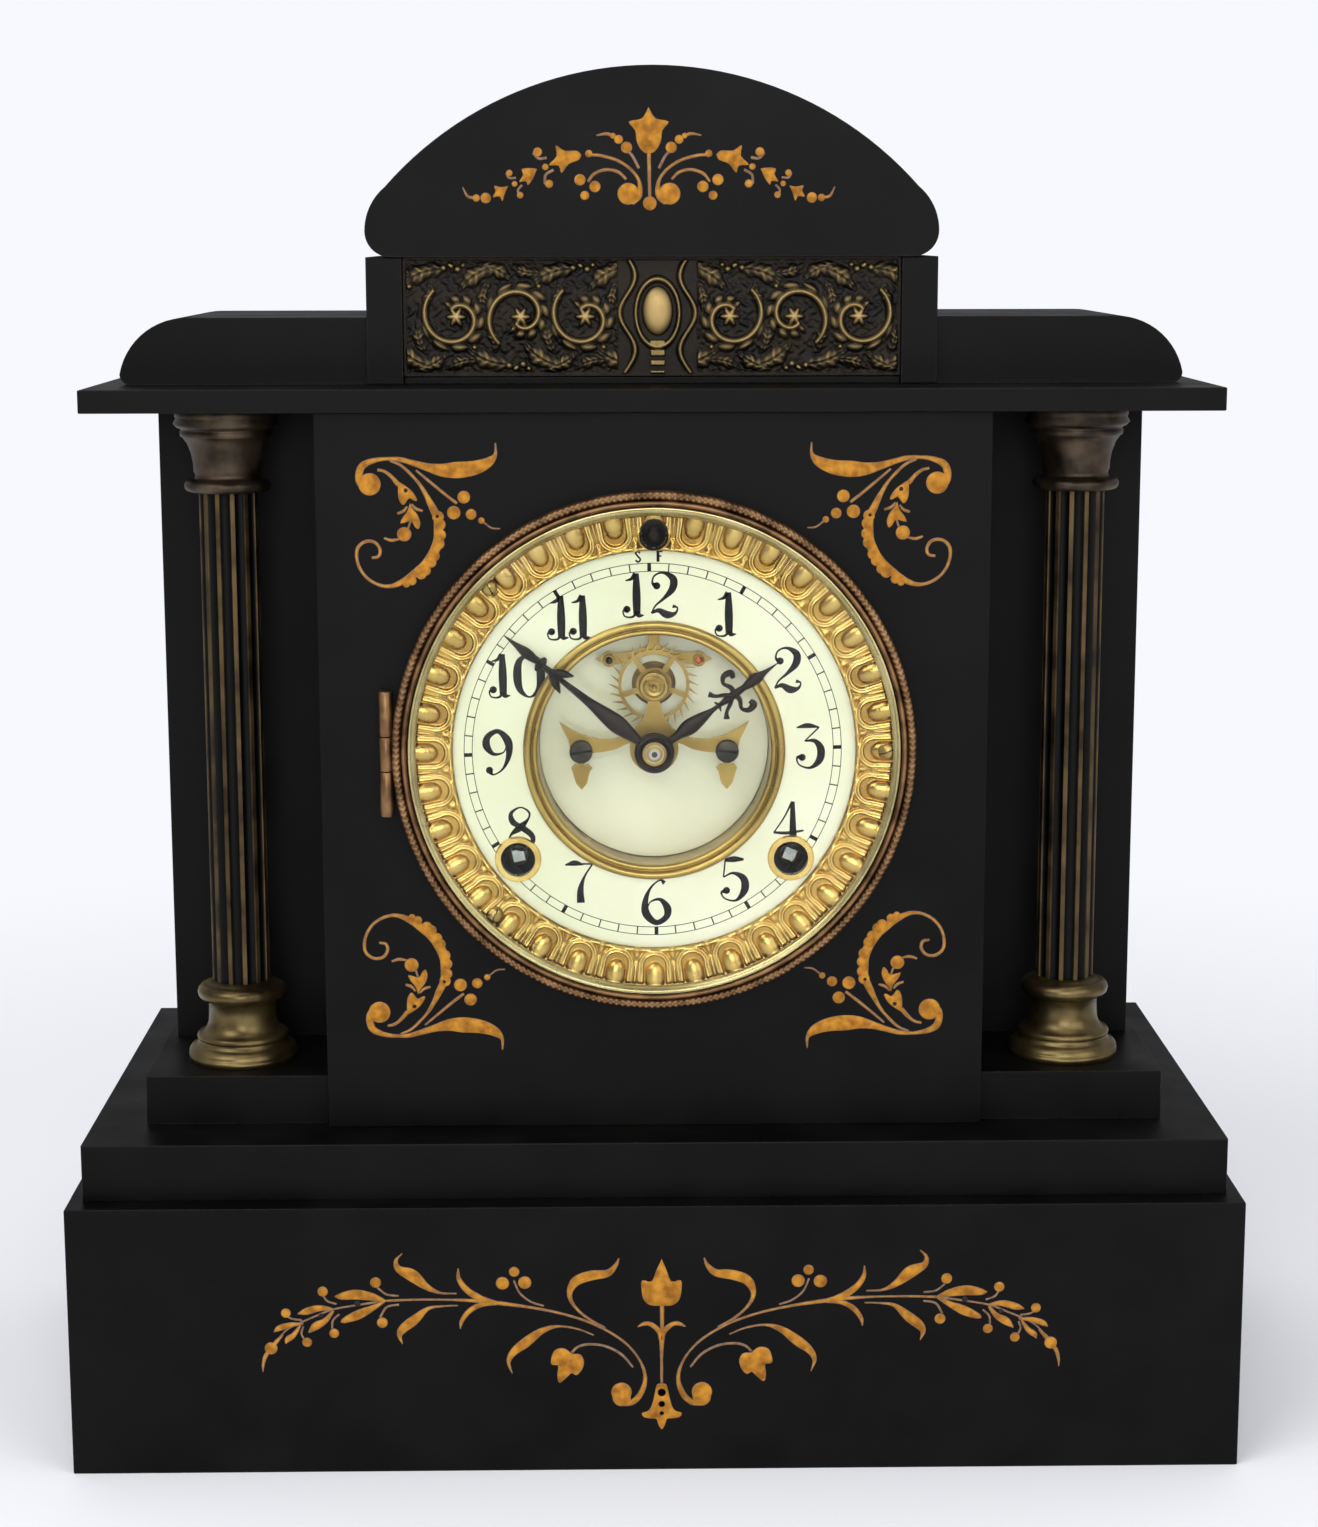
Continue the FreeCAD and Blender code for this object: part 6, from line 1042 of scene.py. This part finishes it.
# ---- columns: turned bases and capitals, smooth where the solids have flats
def makeColumns():
    # profiles (radius, height) in mm turned round Z with rounded rolls
    def arc(middle, level, radius, begin, end):
        turn = np.radians(np.linspace(begin, end, 7))
        return [(middle + radius * math.cos(a), level + radius * math.sin(a)) for a in turn]

    for name, finish in (("base", "base_brass"), ("capital", "aged_brass")):
        node = f"column_{name}s"
        low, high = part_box(node)
        tall, wide = (high.z - low.z) / mm, (high.x - column["across"]) / mm
        if name == "base":
            profile = [(0, 0), (wide, 0), (wide, 2.0), *arc(wide - 2.6, 2.0, 2.6, 0, 80),
                       (13.4, 4.9), (13.2, 5.6), *arc(12.4, 6.9, 1.1, -60, 80),
                       (11.6, 8.4), (10.6, 9.6), (10.0, 11.4), (9.9, 13.0), (9.8, tall - 6.4),
                       *arc(10.6, tall - 3.4, 2.4, -80, 80), (9.6, tall - 0.6), (9.0, tall),
                       (0, tall)]
        else:
            profile = [(0, 0), (9.6, 0), *arc(10.7, 1.75, 1.75, -80, 80), (9.9, 3.6),
                       (9.3, 4.2), (9.3, 5.2), (9.7, 5.9), (9.8, 8.2), (10.3, 11.0),
                       (11.3, 13.8), (12.6, 15.6), (13.0, 15.8), (13.2, 16.0), (13.4, 17.2),
                       (13.0, 17.7), (13.1, 18.0), (14.2, 18.5), (15.2, 19.5),
                       (wide - 0.3, 21.0), (wide, 21.6), (wide, tall), (0, tall)]
            profile = [(r, min(h, tall)) for r, h in profile]
        faces = gridFaces(column["sides"], len(profile), True, False)
        points, faces = joined([
            (turnedSurface(profile, column["sides"], "Z",
                           (side * column["across"], column["y"], low.z)), faces)
            for side, _ in bothSides])
        outward(meshPiece(f"turned_{name}s", points, faces, finish, "case", [node]))


# ---- jewels and small screws of the open escapement: (radius, depth) in mm, turned round Y
trim = {
    "across": 0.0128, "up": 0.0252, "behind": 0.0001, "capUp": 0.018, "lean": 0.35,
    "slotFront": -0.0003, "slot": (0.85, 0.75, 0.1),
    "jewel": [(1.0, 0.7), (1.0, 0.0), (0.85, -0.15), (0.5, -0.4), (0, -0.45)],
    "setting": [(1.6, 0.1), (1.6, 0.0), (1.55, -0.3), (1.3, -0.45), (1.0, -0.25), (1.0, 0.1)],
    "cap": [(4.2, 0.6), (4.2, 0.05), (3.9, -0.2), (3.5, 0.0), (3.1, -0.1), (2.9, -0.5),
            (2.3, -0.6), (1.9, -0.3), (1.5, -0.3), (1.2, -0.6), (0.7, -0.6), (0.55, 0.1),
            (0, 0.1)],
    "hole_shade": [(5.3, 1.0), (5.3, 6.3), (2.9, 6.3), (2.9, 6.0), (5.0, 6.0), (5.0, 1.0)],
}


def makeEscapementTrim():
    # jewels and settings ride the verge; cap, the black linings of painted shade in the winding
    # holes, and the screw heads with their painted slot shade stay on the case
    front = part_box("verge")[0].y + trim["behind"]
    for name, profile, looks in (("pallet_jewel", "jewel", ("dark_steel", "ruby_jewel")),
                                 ("jewel_setting", "setting", ("old_gold", "old_gold"))):
        for (side, word), finish in zip(bothSides, looks):
            turnedPiece(f"{name}_{word}", trim[profile], 24, "Y",
                        (side * trim["across"], front, dialHeight + trim["up"]), finish,
                        "verge")
    turnedPiece("escape_cap", trim["cap"], 48, "Y",
                (0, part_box("escapement_bridge")[0].y + trim["behind"],
                 dialHeight + trim["capUp"]), "old_gold", "case")
    # painted shade: black tubes line the winding holes
    low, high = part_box("winding_grommets")
    radius = (high.z - low.z) / 2
    for side, word in bothSides:
        turnedPiece(f"winding_hole_shade_{word}", trim["hole_shade"], 48, "Y",
                    (side * (high.x - radius), low.y, (high.z + low.z) / 2), "black_print",
                    "case", (), True)
    low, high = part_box("bridge_screws")
    radius, up = (high.z - low.z) / 2 / mm, (high.z + low.z) / 2 / mm
    head = [(radius, 0.8), (radius, 0.0), (radius - 0.25, -0.22), (radius - 0.8, -0.3),
            (0, -0.34)]
    # painted shade: black bars across the heads stand for the shade in their slots
    slots, (share, wide, thick) = [], trim["slot"]
    for side, word in bothSides:
        across, lean = side * (high.x / mm - radius), side * trim["lean"]
        reach = radius * share
        turnedPiece(f"bridge_screw_head_{word}", head, 40, "Y", (across * mm, low.y, up * mm),
                    "dark_steel", "case")
        slots.append(bar(across - reach, up + lean, across + reach, up - lean, wide, thick))
    facePiece("bridge_screw_slot_shades", slots, low.y + trim["slotFront"], "black_print")


makeColumns()
makeEscapementTrim()
print("stage: small work done")


# ---- finishes on the solids that stay
otherFinish = {"column_shafts": "fluted_brass", "bridge_screws": "dark_steel",
               "winding_grommets": "gilt_eyelet", "verge": "movement_brass",
               "regulator_arbor": "dark_steel", "rear_door": "door_brass",
               "rear_door_hinge": "door_brass"}
edgeRounding = {"width": 0.00035, "segments": 2, "angle": 50}


def dressSolids():
    # each solid takes its finish; the slate blocks also get soft edges
    for finish, names in finishOf.items():
        for name in names.split():
            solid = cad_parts[name]
            solid.data.materials.clear()
            solid.data.materials.append(materials[otherFinish.get(name, finish)])
            if finish == "black_slate":
                merge = solid.modifiers.new("merge", "WELD")
                merge.merge_threshold = hair
                soft = solid.modifiers.new("round", "BEVEL")
                soft.width = edgeRounding["width"]
                soft.segments = edgeRounding["segments"]
                soft.limit_method = "ANGLE"
                soft.angle_limit = math.radians(edgeRounding["angle"])


dressSolids()


# ---- room: pale floor and backdrop, soft lamps, the photograph's camera
room = {"floor": (0.9, 0.91, 0.94), "wall": (0.93, 0.945, 0.99), "world": 0.42,
        "near": 0.26, "far": 0.8, "half": 6.0, "aim": (0, 0, 0.2)}
# place, size and power
lamps = {"key": ((-0.9, -1.1, 1.5), 1.1, 15), "fill": ((1.1, -1.2, 0.9), 1.2, 8),
         "top": ((0, 0.1, 1.9), 1.4, 12), "front": ((0.0, -1.9, 0.7), 0.9, 12)}
camera = {"place": (-0.010862, -0.880183, 0.351675), "yaw": -0.01478, "pitch": 0.17867,
          "roll": 0.00191, "focal": 2942.87, "imageHeight": 1527, "sensor": 36}


def paleFinish(name, colour):
    # plain paper near the object; farther off the camera sees the backdrop's own pale colour
    finish = bpy.data.materials.new(name)
    finish.use_nodes = True
    tree = finish.node_tree
    paper = tree.nodes["Principled BSDF"]
    for key, value in (("Base Color", (*colour, 1)), ("Roughness", 0.9),
                       ("Specular IOR Level", 0.1)):
        paper.inputs[key].default_value = value
    away = addNode(tree, "VectorMath", {0: addNode(tree, "TexCoord", out="Object")}, "Value",
                   operation="LENGTH")
    share = addNode(tree, "MapRange", {"Value": away, "From Min": room["near"],
                                       "From Max": room["far"]},
                    interpolation_type="SMOOTHSTEP")
    seen = addNode(tree, "Math", {0: share,
                                  1: addNode(tree, "LightPath", out="Is Camera Ray")},
                   operation="MULTIPLY")
    glow = addNode(tree, "Emission", {"Color": (*room["wall"], 1)})
    mix = addNode(tree, "MixShader", {0: seen, 1: paper.outputs[0], 2: glow})
    tree.links.new(mix, tree.nodes["Material Output"].inputs["Surface"])
    return finish


def addThing(name, data):
    # puts data into the scene
    thing = bpy.data.objects.new(name, data)
    bpy.context.scene.collection.objects.link(thing)
    return thing


def makeRoom():
    # one wide square of floor under a pale world
    half = room["half"]
    mesh = bpy.data.meshes.new("room")
    mesh.from_pydata([(-half, -half, 0), (half, -half, 0), (half, half, 0), (-half, half, 0)],
                     [], [(0, 1, 2, 3)])
    backdrop = addThing("backdrop", mesh)
    backdrop.data.materials.append(paleFinish("pale_paper", room["floor"]))

    world = bpy.data.worlds.new("studio")
    bpy.context.scene.world = world
    world.use_nodes = True
    tree = world.node_tree
    light = tree.nodes["Background"]
    light.inputs["Color"].default_value = (*room["wall"], 1)
    seen = addNode(tree, "LightPath", out="Is Camera Ray")
    level = addNode(tree, "MapRange", {"Value": seen, "To Min": room["world"], "To Max": 1.0})
    tree.links.new(level, light.inputs["Strength"])


def makeLamp(name, place, size, power):
    # a square lamp, unseen, aimed at the object
    data = bpy.data.lights.new(name, "AREA")
    data.energy = power
    data.size = size
    lamp = addThing(name, data)
    lamp.location = place
    lamp.visible_camera = False
    way = Vector(room["aim"]) - Vector(place)
    lamp.rotation_euler = way.to_track_quat("-Z", "Y").to_euler()


def makeCamera():
    # yaw about the upright, then pitch down, then roll about the line of sight
    data = bpy.data.cameras.new("photograph")
    data.sensor_fit = "VERTICAL"
    data.sensor_height = camera["sensor"]
    data.lens = camera["focal"] / camera["imageHeight"] * camera["sensor"]
    data.clip_end = 20
    eye = addThing("photograph", data)
    sy, cy = math.sin(camera["yaw"]), math.cos(camera["yaw"])
    sp, cp = math.sin(camera["pitch"]), math.cos(camera["pitch"])
    sr, cr = math.sin(camera["roll"]), math.cos(camera["roll"])
    right, flat = Vector((cy, sy, 0)), Vector((-sy, cy, 0))
    ahead, top = flat * cp - Vector((0, 0, sp)), flat * sp + Vector((0, 0, cp))
    x, z = right * cr - top * sr, right * sr + top * cr
    eye.matrix_world = Matrix((
        (x.x, z.x, -ahead.x, camera["place"][0]), (x.y, z.y, -ahead.y, camera["place"][1]),
        (x.z, z.z, -ahead.z, camera["place"][2]), (0, 0, 0, 1)))
    bpy.context.scene.camera = eye


makeRoom()
for name, (place, size, power) in lamps.items():
    makeLamp(name, place, size, power)
makeCamera()
bpy.context.scene.view_settings.view_transform = "Standard"
print("stage: room done")
